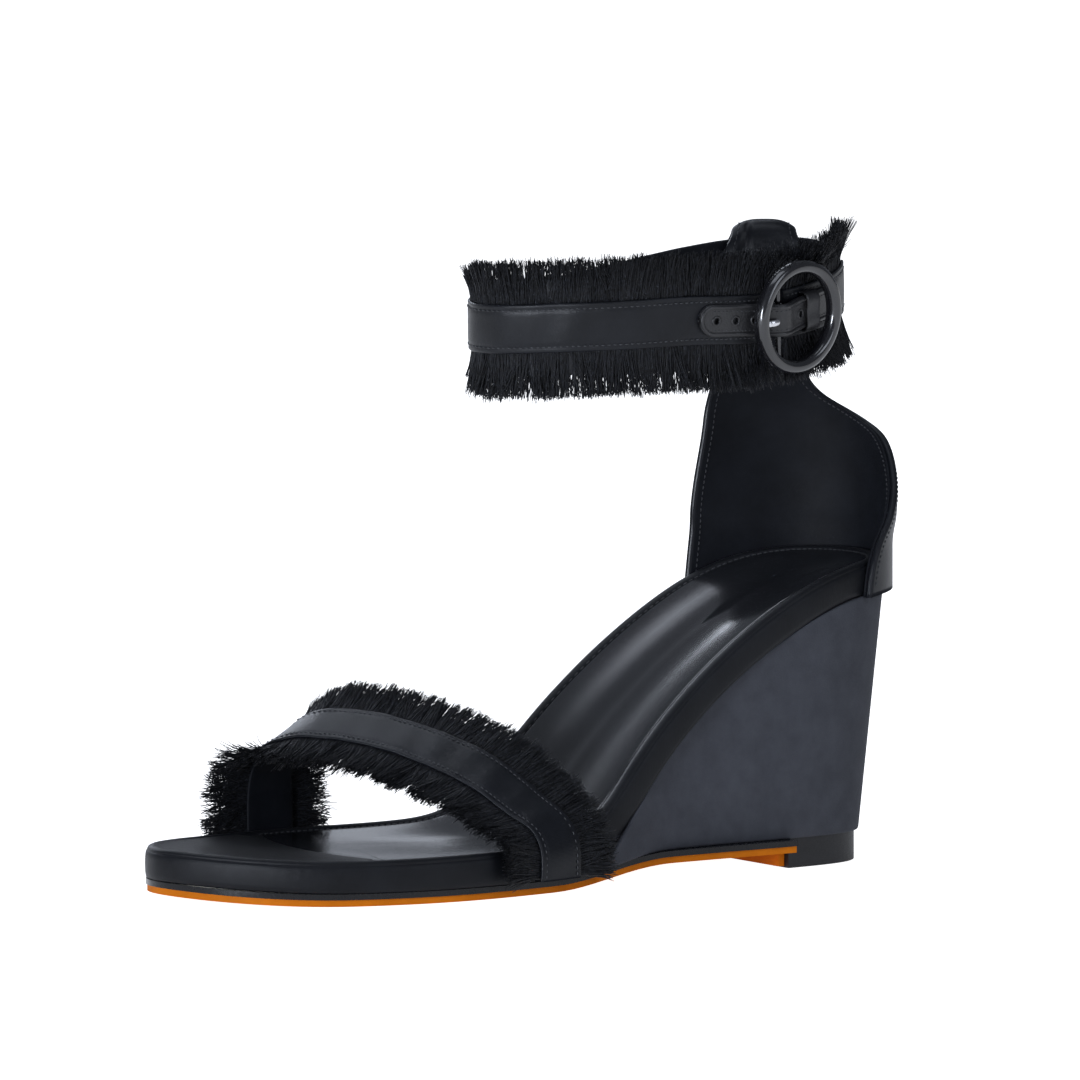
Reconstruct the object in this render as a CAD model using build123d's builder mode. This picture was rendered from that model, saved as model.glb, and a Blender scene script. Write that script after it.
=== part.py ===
"""Left wedge sandal: covered wedge, fringed toe strap, medial counter and buckled ankle strap.

The toe points to -Y, the outer (lateral) side of the foot is +X, and the ground is z = 0.
Lengths are measured from the back of the heel, and at() moves them into the part's own frame.
"""

import os
from math import atan2, cos, sin

from build123d import *

os.makedirs("parts", exist_ok=True)

# Place of the heel's back and of the shoe's centre line in the part's frame
HEEL_BACK_Y = 112.28
CENTRE_X = 1.63

# Sole unit
SOLE_LENGTH = 225.0
OUTSOLE_THICKNESS = 1.8
EDGE_THICKNESS = 1.6
SOLE_STACK = OUTSOLE_THICKNESS + EDGE_THICKNESS
WAIST_LIFT = 4.6
TOE_SPRING = 2.4
HEEL_SEAT_HEIGHT = SOLE_STACK + WAIST_LIFT
BREAST_Y = -43.0
RIM_WIDTH = 4.2
SOCK_THICKNESS = 1.2
CUSHION_THICKNESS = 2.0
BOARD_THICKNESS = 2.2
COVER_THICKNESS = 1.0
SOCK_FRONT_Y = -180.0

# Upper
LAYER = 0.9
COUNTER_TOP_Z = 112.0
NECK_SPLIT_Z = 132.0
NECK_GAP = 0.8
TAB_TOP_Z = 170.0
RIBBON_WIDTH = 13.4
FRINGE_LENGTH = 12.0
BAND_TILT = Vector(0.11, -0.09, 1.0)
BAND_CENTRE = (0.0, -69.0, 151.0)
TOE_RIBBON_WIDTH = 14.4

# Buckle
RING_RADIUS = 14.1
WIRE_RADIAL = 1.2
WIRE_AXIAL = 2.5
RING_STANDOFF = 7.2
BAR_RADIUS = 0.9
BAR_FORWARD = 6.1
BAR_INSET = 1.5
KNUCKLE_RADIUS = 1.65
PRONG_RADIUS = 0.8
TAIL_WIDTH = 9.0
TAIL_THICKNESS = 1.2

GLUE = 0.05
FIT = 0.1
BIG = 400.0

# Footbed line seen from the side, heel to toe, as (y, z)
FOOTBED = [(2, 81.6), (-12, 81.2), (-27, 79.2), (-50, 70.2), (-70, 57.2), (-84, 45.5), (-98, 31.2),
           (-108, 20.6), (-118, 14.8), (-132, 12.6), (-160, 12.0), (-195, 12.0), (-230, 14.2)]
# Lower edge of the padded rim, where it sits on the wedge
RIM_BOTTOM = [(4, 73.2), (-12, 72.6), (-25, 71.0), (-46, 63.0), (-66, 50.3), (-81, 37.6), (-93, 24.5),
              (-103, 13.0), (-112, 5.2), (-119, 2.0)]
# Plan of the rim: (y, outer side x, inner side x)
PLAN = [(-2.5, 0, 0), (-5, 11, -11), (-13, 20.5, -20.5), (-28, 26.5, -26.5), (-60, 29.5, -29.0),
        (-90, 31.5, -31.0), (-113, 35.0, -33.5), (-138, 39.5, -38.5), (-160, 41.0, -41.5),
        (-180, 38.0, -41.0), (-198, 31.0, -37.0), (-212, 20.5, -28.0), (-221, 8.0, -17.0)]
TOE_TIP = (-6.0, -SOLE_LENGTH)
# Plan of the wedge at its top and at the ground: (y, outer side x, inner side x)
WEDGE_TOP = [(-0.8, 0, 0), (-4, 12, -12), (-12, 21.5, -21.5), (-28, 28.0, -28.0), (-60, 29.0, -28.5),
             (-90, 31.0, -30.5), (-125, 35.5, -34.5)]
WEDGE_FOOT = [(-10.5, 0, 0), (-13, 10, -10), (-19, 17.8, -17.8), (-33, 22.8, -22.8), (-60, 25.0, -24.5),
              (-90, 30.0, -29.5), (-125, 35.5, -34.5)]
WEDGE_TOP_Z = 84.0
WEDGE_FRONT_Y = -116.0


def at(x, y, z=0.0):
    """A point of the shoe in the part's own frame."""
    return (x + CENTRE_X, y + HEEL_BACK_Y, z)


def inset_point(x, y, inset):
    """A plan point moved towards the shoe's long axis."""
    side = 0 if x == 0 else (1 if x > 0 else -1)
    return (x - side * inset + CENTRE_X, y + HEEL_BACK_Y)


def plan_ring(stations, inset, front=None):
    """The points of a plan outline, from the heel's back round by the outer side."""
    back_y = stations[0][0] - inset
    outer = [inset_point(x, y, inset) for y, x, _ in stations[1:]]
    inner = [inset_point(x, y, inset) for y, _, x in stations[1:]]
    tip = [] if front is None else [(front[0] + CENTRE_X, front[1] + inset + HEEL_BACK_Y)]
    return [(CENTRE_X, back_y + HEEL_BACK_Y)] + outer + tip + inner[::-1]


def plan_block(inset, low=-5.0, high=220.0):
    """A prism over the rim's plan outline."""
    with BuildPart() as block:
        with BuildSketch(Plane.XY.offset(low)):
            with BuildLine():
                Spline(*plan_ring(PLAN, inset, TOE_TIP), periodic=True)
            make_face()
        extrude(amount=high - low)
    return block.part


def lowered(points, depth):
    """Side-view points moved down at right angles to their line."""
    moved = []
    for i, (y, z) in enumerate(points):
        before = points[max(i - 1, 0)]
        after = points[min(i + 1, len(points) - 1)]
        slope = atan2(after[1] - before[1], after[0] - before[0])
        y_move, z_move = sin(slope), cos(slope)
        if after[0] < before[0]:
            y_move, z_move = -y_move, -z_move
        moved.append((y + depth * y_move, z - depth * z_move))
    return moved


def below(points, floor=-30.0):
    """Everything under a side-view line, right across the shoe."""
    shifted = [(y + HEEL_BACK_Y, z) for y, z in points]
    with BuildPart() as block:
        with BuildSketch(Plane.YZ):
            with BuildLine():
                Spline(*shifted)
                Polyline(shifted[-1], (shifted[-1][0], floor), (shifted[0][0], floor), shifted[0])
            make_face()
        extrude(amount=BIG, both=True)
    return block.part


def below_sole(rise):
    """Everything under the bottom of the shoe raised by rise, from toe to heel."""
    y0 = HEEL_BACK_Y
    flat_z, waist_z = rise, rise + WAIST_LIFT
    with BuildPart() as block:
        with BuildSketch(Plane.YZ):
            with BuildLine():
                Spline((y0 - 230, rise + TOE_SPRING), (y0 - 188, flat_z), tangents=((1, -0.12), (1, 0)))
                Line((y0 - 188, flat_z), (y0 - 126, flat_z))
                Spline((y0 - 126, flat_z), (y0 - 84, waist_z), tangents=((1, 0), (1, 0)))
                Polyline((y0 - 84, waist_z), (y0 + 10, waist_z), (y0 + 10, -30), (y0 - 230, -30),
                         (y0 - 230, rise + TOE_SPRING))
            make_face()
        extrude(amount=BIG, both=True)
    return block.part


def ahead_of(y):
    """Everything on the toe side of a station."""
    with BuildPart(Plane(at(0, y - BIG / 2, 0))) as block:
        Box(BIG, BIG, BIG)
    return block.part


def sock_pocket(inset):
    """Everything behind the sock's front edge, inside the rim."""
    with BuildPart() as block:
        with BuildSketch():
            with BuildLine():
                ThreePointArc(at(60, SOCK_FRONT_Y + 16 + inset)[:2], at(2, SOCK_FRONT_Y - 3 + inset)[:2],
                              at(-60, SOCK_FRONT_Y + 26 + inset)[:2])
                Polyline(at(-60, SOCK_FRONT_Y + 26 + inset)[:2], at(-60, 20)[:2], at(60, 20)[:2],
                         at(60, SOCK_FRONT_Y + 16 + inset)[:2])
            make_face()
        extrude(amount=220)
        add(plan_block(RIM_WIDTH + inset), mode=Mode.INTERSECT)
    return block.part


CUSHION_DEPTH = SOCK_THICKNESS + CUSHION_THICKNESS
BOARD_DEPTH = CUSHION_DEPTH + BOARD_THICKNESS
SHANK_DEPTH = BOARD_DEPTH + 1.6
footbed_top = below(FOOTBED)
sock_bottom = below(lowered(FOOTBED, SOCK_THICKNESS))
cushion_top = below(lowered(FOOTBED, SOCK_THICKNESS + GLUE))
cushion_bottom = below(lowered(FOOTBED, CUSHION_DEPTH))
board_top = below(lowered(FOOTBED, CUSHION_DEPTH + GLUE))
board_bottom = below(lowered(FOOTBED, BOARD_DEPTH))
core_top = below(lowered(FOOTBED, BOARD_DEPTH + GLUE))
shank_bottom = below(lowered(FOOTBED, SHANK_DEPTH))
shank_groove = below(lowered(FOOTBED, SHANK_DEPTH + GLUE))
rim_base = below(RIM_BOTTOM)
wedge_top = below(lowered(RIM_BOTTOM, GLUE))
edge_top = below_sole(SOLE_STACK)
above_edge = below_sole(SOLE_STACK + GLUE)
outsole_top = below_sole(OUTSOLE_THICKNESS)
above_outsole = below_sole(OUTSOLE_THICKNESS + GLUE)
ground_line = below_sole(0.0)
rim_plan = plan_block(0.0)
inner_plan = plan_block(RIM_WIDTH + FIT)

# --- Sole unit -------------------------------------------------------------

OUTSOLE_INSET, EDGE_INSET = 1.2, 0.4
# The lip that the outsole turns down against the top piece
LIP_LOW, LIP_HIGH, LIP_WIDTH = 0.4, WAIST_LIFT + 0.5, 43.0

with BuildPart() as outsole:
    add(plan_block(OUTSOLE_INSET))
    add(outsole_top, mode=Mode.INTERSECT)
    add(ground_line, mode=Mode.SUBTRACT)
    add(ahead_of(BREAST_Y), mode=Mode.INTERSECT)
    with BuildSketch(Plane(at(0, BREAST_Y - FIT, 0), x_dir=(1, 0, 0), z_dir=(0, -1, 0))):
        with Locations((0, (LIP_LOW + LIP_HIGH) / 2)):
            Rectangle(LIP_WIDTH, LIP_HIGH - LIP_LOW)
    extrude(amount=OUTSOLE_THICKNESS)
outsole.part.label = "outsole"

with BuildPart() as sole_edge:
    add(plan_block(EDGE_INSET))
    add(edge_top, mode=Mode.INTERSECT)
    add(above_outsole, mode=Mode.SUBTRACT)
    add(ahead_of(BREAST_Y), mode=Mode.INTERSECT)
sole_edge.part.label = "sole_edge"

TOP_PIECE_INSET = 0.7
with BuildPart() as heel_top_piece:
    with BuildSketch():
        with BuildLine():
            Spline(*plan_ring(WEDGE_FOOT, TOP_PIECE_INSET), periodic=True)
        make_face()
    extrude(amount=HEEL_SEAT_HEIGHT)
    add(ahead_of(BREAST_Y + FIT), mode=Mode.SUBTRACT)
heel_top_piece.part.label = "heel_top_piece"


def wedge_block(inset):
    """The leaning wedge, from the sole's level up to above the rim's lower edge."""
    with BuildPart() as block:
        with BuildSketch():
            with BuildLine():
                Spline(*plan_ring(WEDGE_FOOT, inset), periodic=True)
            make_face()
        with BuildSketch(Plane.XY.offset(WEDGE_TOP_Z)):
            with BuildLine():
                Spline(*plan_ring(WEDGE_TOP, inset), periodic=True)
            make_face()
        loft()
        add(above_edge, mode=Mode.SUBTRACT)
        add(wedge_top, mode=Mode.INTERSECT)
        add(ahead_of(WEDGE_FRONT_Y), mode=Mode.SUBTRACT)
    return block.part


wedge_inside = wedge_block(COVER_THICKNESS + GLUE)

with BuildPart() as wedge_cover:
    add(wedge_block(0.0))
    add(wedge_block(COVER_THICKNESS), mode=Mode.SUBTRACT)
wedge_cover.part.label = "wedge_cover"

NAIL_SPOTS = [(-12, -24), (12, -24), (-13, -38), (13, -38)]
SCREW_SPOTS = [(-11, -16), (11, -16), (0, -22), (-11, -33), (11, -33)]
# Lightening pockets in the moulded core: (y of the middle, length, floor height)
POCKETS = [(-51, 10, 16.0), (-70, 16, 16.0), (-91, 16, 12.0)]
POCKET_WIDTH, POCKET_CORNER = 32.0, 3.0


def pins(spots, shank, head):
    """Plain round fasteners at plan points; shank and head are each (radius, low, high)."""
    with BuildPart() as group:
        for x, y in spots:
            for radius, low, high in (shank, head):
                with BuildSketch(Plane(at(x, y, low))):
                    Circle(radius)
                extrude(amount=high - low)
    return group.part


NAIL_RADIUS, NAIL_HEAD_RADIUS, NAIL_LOW, NAIL_HEAD_TOP, NAIL_HIGH = 1.1, 3.0, 1.2, 2.2, 24.0
SCREW_RADIUS, SCREW_HEAD_RADIUS, SCREW_LOW, SCREW_HEAD_LOW, SCREW_HIGH = 1.8, 3.6, 42.0, 69.8, 71.6
PIN_FIT = FIT / 2
with BuildPart() as top_piece_nails:
    add(pins(NAIL_SPOTS, (NAIL_RADIUS, NAIL_LOW, NAIL_HIGH), (NAIL_HEAD_RADIUS, NAIL_LOW, NAIL_HEAD_TOP)))
top_piece_nails.part.label = "top_piece_nails"
nail_holes = pins(NAIL_SPOTS, (NAIL_RADIUS + PIN_FIT, -1.0, NAIL_HIGH + FIT),
                  (NAIL_HEAD_RADIUS + PIN_FIT, -1.0, NAIL_HEAD_TOP))
with BuildPart() as heel_screws:
    add(pins(SCREW_SPOTS, (SCREW_RADIUS, SCREW_LOW, SCREW_HIGH), (SCREW_HEAD_RADIUS, SCREW_HEAD_LOW, SCREW_HIGH)))
heel_screws.part.label = "heel_screws"
screw_holes = pins(SCREW_SPOTS, (SCREW_RADIUS + PIN_FIT, SCREW_LOW - FIT, WEDGE_TOP_Z),
                   (SCREW_HEAD_RADIUS + PIN_FIT, SCREW_HEAD_LOW - FIT, WEDGE_TOP_Z))

with BuildPart() as wedge_core:
    add(wedge_inside)
    for pocket_y, pocket_length, floor_z in POCKETS:
        with BuildSketch(Plane(at(0, pocket_y, floor_z))):
            RectangleRounded(POCKET_WIDTH, pocket_length, POCKET_CORNER)
        extrude(amount=BIG, mode=Mode.SUBTRACT)
    add(nail_holes, mode=Mode.SUBTRACT)
    add(screw_holes, mode=Mode.SUBTRACT)
wedge_core.part.label = "wedge_core"

with BuildPart() as top_piece_drilled:
    add(heel_top_piece.part)
    add(nail_holes, mode=Mode.SUBTRACT)
heel_top_piece.part = top_piece_drilled.part
heel_top_piece.part.label = "heel_top_piece"

# --- Platform --------------------------------------------------------------

with BuildPart() as rim_hollow:
    add(plan_block(RIM_WIDTH))
    add(sock_bottom, mode=Mode.INTERSECT)

with BuildPart() as platform_wrap:
    add(rim_plan)
    add(footbed_top, mode=Mode.INTERSECT)
    add(rim_base, mode=Mode.SUBTRACT)
    add(above_edge, mode=Mode.SUBTRACT)
    add(rim_hollow.part, mode=Mode.SUBTRACT)
    add(sock_pocket(0.0), mode=Mode.SUBTRACT)
platform_wrap.part.label = "platform_wrap"

with BuildPart() as sock_lining:
    add(sock_pocket(FIT))
    add(footbed_top, mode=Mode.INTERSECT)
    add(sock_bottom, mode=Mode.SUBTRACT)
sock_lining.part.label = "sock_lining"

with BuildPart() as footbed_cushion:
    add(inner_plan)
    add(cushion_top, mode=Mode.INTERSECT)
    add(cushion_bottom, mode=Mode.SUBTRACT)
footbed_cushion.part.label = "footbed_cushion"

SHANK_BACK_Y, SHANK_FRONT_Y, SHANK_WIDTH = -42.0, -134.0, 12.0
with BuildPart() as shank_blank:
    with BuildSketch():
        with Locations(at(0, (SHANK_BACK_Y + SHANK_FRONT_Y) / 2)[:2]):
            SlotOverall(SHANK_BACK_Y - SHANK_FRONT_Y, SHANK_WIDTH, rotation=90)
    extrude(amount=100)

with BuildPart() as shank_recess:
    with BuildSketch():
        with Locations(at(0, (SHANK_BACK_Y + SHANK_FRONT_Y) / 2)[:2]):
            SlotOverall(SHANK_BACK_Y - SHANK_FRONT_Y + 2 * FIT, SHANK_WIDTH + 2 * FIT, rotation=90)
    extrude(amount=100)
    add(shank_groove, mode=Mode.SUBTRACT)

RIVET_SPOTS = [(0, -49), (0, -127)]
RIVET_RADIUS = 1.6
with BuildPart() as rivet_bores:
    with BuildSketch():
        with Locations(*[at(x, y)[:2] for x, y in RIVET_SPOTS]):
            Circle(RIVET_RADIUS + FIT / 2)
    extrude(amount=100)

with BuildPart() as shank_rivets:
    with BuildSketch():
        with Locations(*[at(x, y)[:2] for x, y in RIVET_SPOTS]):
            Circle(RIVET_RADIUS)
    extrude(amount=100)
    add(board_top, mode=Mode.INTERSECT)
    add(shank_bottom, mode=Mode.SUBTRACT)
shank_rivets.part.label = "shank_rivets"

with BuildPart() as shank:
    add(shank_blank.part)
    add(core_top, mode=Mode.INTERSECT)
    add(shank_bottom, mode=Mode.SUBTRACT)
    add(rivet_bores.part, mode=Mode.SUBTRACT)
shank.part.label = "shank"

with BuildPart() as insole_board:
    add(inner_plan)
    add(board_top, mode=Mode.INTERSECT)
    add(board_bottom, mode=Mode.SUBTRACT)
    add(rivet_bores.part, mode=Mode.SUBTRACT)
    add(screw_holes, mode=Mode.SUBTRACT)
insole_board.part.label = "insole_board"

with BuildPart() as platform_core:
    add(inner_plan)
    add(core_top, mode=Mode.INTERSECT)
    add(rim_base, mode=Mode.SUBTRACT)
    add(above_edge, mode=Mode.SUBTRACT)
    add(shank_recess.part, mode=Mode.SUBTRACT)
    add(rivet_bores.part, mode=Mode.SUBTRACT)
    add(screw_holes, mode=Mode.SUBTRACT)
platform_core.part.label = "platform_core"

# --- Heel counter and neck ---------------------------------------------------

# The counter's free edge seen from behind, from the outer side up to the inner neck, as (x, z)
REAR_EDGE = [(28.6, 58), (26.6, 66), (24.2, 74), (20.6, 82), (16.0, 91.5), (11.0, 99.5), (4.5, 106.3), (-3, 110.3),
             (-10, 114.2), (-15.6, 119.8), (-18.4, 126), (-19.2, NECK_SPLIT_Z + 1)]
# Front edge of the neck and counter seen from the side, as (y, z)
FORE_EDGE = [(-34.5, NECK_SPLIT_Z + 1), (-34.8, 118), (-38, 92), (-41.5, 58)]
COUNTER_FLOOR_Z = 58.0

with BuildPart() as under_rear_edge:
    with BuildSketch(Plane.XZ):
        with BuildLine():
            rear_points = [(x + CENTRE_X, z) for x, z in REAR_EDGE]
            Spline(*rear_points)
            Polyline(rear_points[-1], (rear_points[-1][0] - 60, rear_points[-1][1]),
                     (rear_points[-1][0] - 60, COUNTER_FLOOR_Z), rear_points[0])
        make_face()
    extrude(amount=BIG, both=True)

with BuildPart() as behind_fore_edge:
    with BuildSketch(Plane.YZ):
        with BuildLine():
            fore_points = [(y + HEEL_BACK_Y, z) for y, z in FORE_EDGE]
            Spline(*fore_points)
            Polyline(fore_points[-1], (HEEL_BACK_Y + 20, COUNTER_FLOOR_Z),
                     (HEEL_BACK_Y + 20, fore_points[0][1]), fore_points[0])
        make_face()
    extrude(amount=BIG, both=True)


def counter_wall(inner, outer, top_z):
    """A wall standing round the heel, cut to the counter's outline, with its inner-side neck."""
    with BuildPart() as wall:
        add(plan_block(-outer, COUNTER_FLOOR_Z, top_z))
        add(plan_block(-inner, COUNTER_FLOOR_Z - 5, top_z + 5), mode=Mode.SUBTRACT)
        add(rim_base, mode=Mode.SUBTRACT)
        add(under_rear_edge.part, mode=Mode.INTERSECT)
        add(behind_fore_edge.part, mode=Mode.INTERSECT)
    return wall.part


STIFFENER_TOP_Z = COUNTER_TOP_Z - 8
with BuildPart() as counter_lining:
    add(counter_wall(FIT, FIT + LAYER - GLUE, NECK_SPLIT_Z))
counter_lining.part.label = "counter_lining"

with BuildPart() as counter_stiffener:
    add(counter_wall(FIT + LAYER, FIT + 2 * LAYER - GLUE, STIFFENER_TOP_Z))
counter_stiffener.part.label = "counter_stiffener"

with BuildPart() as counter_outer:
    add(counter_wall(FIT + 2 * LAYER, FIT + 3 * LAYER, NECK_SPLIT_Z))
counter_outer.part.label = "counter_outer"

# --- Ankle strap -------------------------------------------------------------

LOOP = [(0, -15), (13, -22.5), (24, -39.5), (28.5, -70), (22, -103), (-4, -121.8), (-24.2, -102.5),
        (-29.5, -70), (-28.8, -38), (-23, -18.5), (-12.5, -11.5)]
band_plane = Plane(at(*BAND_CENTRE), x_dir=(1, 0, -BAND_TILT.X), z_dir=BAND_TILT)
loop_local = [(x - BAND_CENTRE[0], y - BAND_CENTRE[1]) for x, y in LOOP]

with BuildLine(band_plane):
    loop_edge = Spline(*loop_local, periodic=True)


def strap_frame(share):
    """A plane on the strap's lining face: x forward along the strap, z outward, y down."""
    forward = loop_edge % share
    return Plane(loop_edge @ share, x_dir=forward, z_dir=forward.cross(band_plane.z_dir) * -1.0)


BUCKLE_SHARE = 0.162
TAB_SHARE = 0.899
buckle_plane = strap_frame(BUCKLE_SHARE)
buckle_side = Plane(buckle_plane.origin, x_dir=buckle_plane.x_dir, z_dir=band_plane.z_dir)
REACH_STEPS, REACH_SHARE = 150, 0.15


def height_beside_buckle(travel, lift):
    """Height over the buckle's tangent line, this far forward of it, of the surface lifted off the lining."""
    reach = []
    for step in range(-REACH_STEPS, REACH_STEPS + 1):
        frame = strap_frame(BUCKLE_SHARE + step / REACH_STEPS * REACH_SHARE)
        reach.append(buckle_plane.to_local_coords(frame.origin + frame.z_dir * lift))
    nearest = min(reach, key=lambda point: abs(point.X - travel))
    return nearest.Z


# The fringed stretch starts behind the buckle on the outer side and ends at the front of the inner side
PLAIN_X, PLAIN_FRONT_Y = 9.0, -114.0
GAP_BACK, GAP_FRONT = 1.4, 5.25
LOOP_SPANS = 18


def loop_block(out, width):
    """Everything inside the ankle loop moved outward from its lining face."""
    ring = []
    for span in range(LOOP_SPANS):
        frame = strap_frame(span / LOOP_SPANS)
        spot = band_plane.to_local_coords(frame.origin + frame.z_dir * out)
        ring.append((spot.X, spot.Y))
    with BuildPart() as block:
        with BuildSketch(band_plane.offset(-width / 2)):
            with BuildLine():
                Spline(*ring, periodic=True)
            make_face()
        extrude(amount=width)
    return block.part


def band(inner, outer, width):
    """A closed strap wall following the ankle, between two distances from its lining face."""
    with BuildPart() as wall:
        add(loop_block(outer, width))
        add(loop_block(inner, width + 2), mode=Mode.SUBTRACT)
    return wall.part


def plain_sector(margin):
    """The inner side and the back of the ankle, which carry no fringe."""
    with BuildPart() as block:
        with BuildSketch(band_plane.offset(-60)):
            with Locations((PLAIN_X - margin - 50, PLAIN_FRONT_Y - BAND_CENTRE[1] + margin + 75)):
                Rectangle(100, 150)
        extrude(amount=120)
    return block.part


def buckle_box(back, front):
    """A slab square to the strap at the buckle, between two distances along it."""
    with BuildPart() as block:
        with BuildSketch(buckle_plane.offset(-10)):
            with Locations(((back + front) / 2, 0)):
                Rectangle(front - back, 80)
        extrude(amount=20)
    return block.part


def behind_buckle():
    """The short stretch of fringed strap between the buckle and the back of the ankle."""
    with BuildPart() as block:
        with BuildSketch(buckle_plane.offset(-40)):
            with Locations((GAP_BACK - 50, 0)):
                Rectangle(100, 80)
        extrude(amount=60)
    return block.part


plain_side = plain_sector(0.0)
fringed_side = plain_sector(-FIT)
buckle_gap = buckle_box(GAP_BACK, GAP_FRONT)
back_stretch = behind_buckle()


def front_and_back(inner, outer, width):
    """The fringed layer in front of the buckle, and the one behind it."""
    whole = band(inner, outer, width)
    with BuildPart() as front:
        add(whole)
        add(fringed_side, mode=Mode.SUBTRACT)
        add(buckle_gap, mode=Mode.SUBTRACT)
        add(back_stretch, mode=Mode.SUBTRACT)
    with BuildPart() as back:
        add(whole)
        add(fringed_side, mode=Mode.SUBTRACT)
        add(back_stretch, mode=Mode.INTERSECT)
    return front.part, back.part


WEB = 1.2
FACING_TOP = 2 * LAYER
RIBBON_BASE, RIBBON_TOP = LAYER + WEB, 2 * LAYER + WEB
FRINGE_WIDTH = RIBBON_WIDTH + 2 * FRINGE_LENGTH

with BuildPart() as ankle_lining:
    add(band(0.0, LAYER - GLUE, RIBBON_WIDTH - 0.4))
ankle_lining.part.label = "ankle_lining"

with BuildPart() as band_facing:
    add(band(LAYER, FACING_TOP, RIBBON_WIDTH - 0.4))
    add(plain_side, mode=Mode.INTERSECT)
band_facing.part.label = "band_facing"

front_web, back_web = front_and_back(LAYER, RIBBON_BASE - GLUE, FRINGE_WIDTH)
front_satin, back_satin = front_and_back(RIBBON_BASE, RIBBON_TOP, RIBBON_WIDTH)
with BuildPart() as ankle_fringe:
    add(front_web)
ankle_fringe.part.label = "ankle_fringe"
with BuildPart() as back_fringe:
    add(back_web)
back_fringe.part.label = "back_fringe"
with BuildPart() as ankle_ribbon:
    add(front_satin)
ankle_ribbon.part.label = "ankle_ribbon"
with BuildPart() as back_ribbon:
    add(back_satin)
back_ribbon.part.label = "back_ribbon"

# The tab stands on the neck and folds over the ankle strap as a tunnel
TAB_LENGTH = 21.0
TAB_PLATE = 2.6
TAB_WALL = 1.4
TAB_ROUND = 3.2
TUNNEL_DEPTH = 8.4
# The strap curves inside the tunnel, so the tunnel's middle lies inside the lining face
TUNNEL_SHIFT = -1.2
TUNNEL_LOW, TUNNEL_HIGH = 149.0, 167.6
tab_frame = strap_frame(TAB_SHARE)
tab_heading = Vector(-tab_frame.x_dir.X, -tab_frame.x_dir.Y, 0).normalized()
tab_out = Vector(-tab_heading.Y, tab_heading.X, 0) * -1.0
tab_middle = tab_frame.origin + tab_out * TUNNEL_SHIFT
tab_plane = Plane((tab_middle.X, tab_middle.Y, 0), x_dir=tab_heading, z_dir=(0, 0, 1))

with BuildPart() as heel_tab:
    with BuildSketch(tab_plane.offset(NECK_SPLIT_Z + NECK_GAP)):
        Rectangle(TAB_LENGTH, TAB_PLATE)
    extrude(amount=TUNNEL_LOW - TAB_WALL - NECK_SPLIT_Z)
    with BuildSketch(tab_plane.offset(TUNNEL_LOW - TAB_WALL)):
        Rectangle(TAB_LENGTH, TUNNEL_DEPTH + 2 * TAB_WALL)
    extrude(amount=TAB_TOP_Z - TUNNEL_LOW + TAB_WALL)
    fillet(heel_tab.edges().filter_by(Axis.Z, reverse=True).group_by(Axis.Z)[-1].filter_by(
        lambda e: abs(e.tangent_at(0.5).dot(tab_heading)) > 0.9), radius=TAB_ROUND)
    with BuildSketch(tab_plane.offset(TUNNEL_LOW)):
        Rectangle(BIG, TUNNEL_DEPTH)
    extrude(amount=TUNNEL_HIGH - TUNNEL_LOW, mode=Mode.SUBTRACT)
heel_tab.part.label = "heel_tab"

# --- Buckle ------------------------------------------------------------------

BAR_HEIGHT = RING_STANDOFF - BAR_INSET
BAR_HALF = (RING_RADIUS ** 2 - BAR_FORWARD ** 2) ** 0.5
ring_plane = Plane(buckle_plane.from_local_coords((0, 0, RING_STANDOFF)), x_dir=buckle_plane.x_dir,
                   z_dir=buckle_plane.y_dir)
bar_plane = Plane(buckle_side.from_local_coords((BAR_FORWARD, BAR_HEIGHT, 0)), x_dir=buckle_plane.x_dir,
                  z_dir=band_plane.z_dir)

with BuildPart() as buckle_ring:
    with BuildSketch(ring_plane):
        with Locations((RING_RADIUS, 0)):
            Ellipse(WIRE_RADIAL, WIRE_AXIAL)
    revolve(axis=Axis(ring_plane.origin, buckle_plane.z_dir))
    with BuildSketch(bar_plane):
        Circle(BAR_RADIUS)
    extrude(amount=BAR_HALF, both=True)
buckle_ring.part.label = "buckle_ring"

KNUCKLE_HALF = 1.3
# The prong's arm, from the bar outward and forward to its tip
ARM_POINTS = [(0.8, 0.6), (3.0, 2.25), (5.6, 1.65)]
ARM_BEND = 1.2
with BuildPart() as buckle_prong:
    with BuildSketch(bar_plane):
        Circle(KNUCKLE_RADIUS)
    extrude(amount=KNUCKLE_HALF, both=True)
    with BuildLine(bar_plane) as arm_path:
        FilletPolyline(*ARM_POINTS, radius=ARM_BEND)
    with BuildSketch(Plane(arm_path.line @ 0, z_dir=arm_path.line % 0)):
        Circle(PRONG_RADIUS)
    sweep(path=arm_path.line)
    with Locations(arm_path.line @ 1):
        Sphere(PRONG_RADIUS)
    with BuildSketch(bar_plane):
        Circle(BAR_RADIUS + PIN_FIT)
    extrude(amount=2 * KNUCKLE_HALF, both=True, mode=Mode.SUBTRACT)
buckle_prong.part.label = "buckle_prong"

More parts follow.
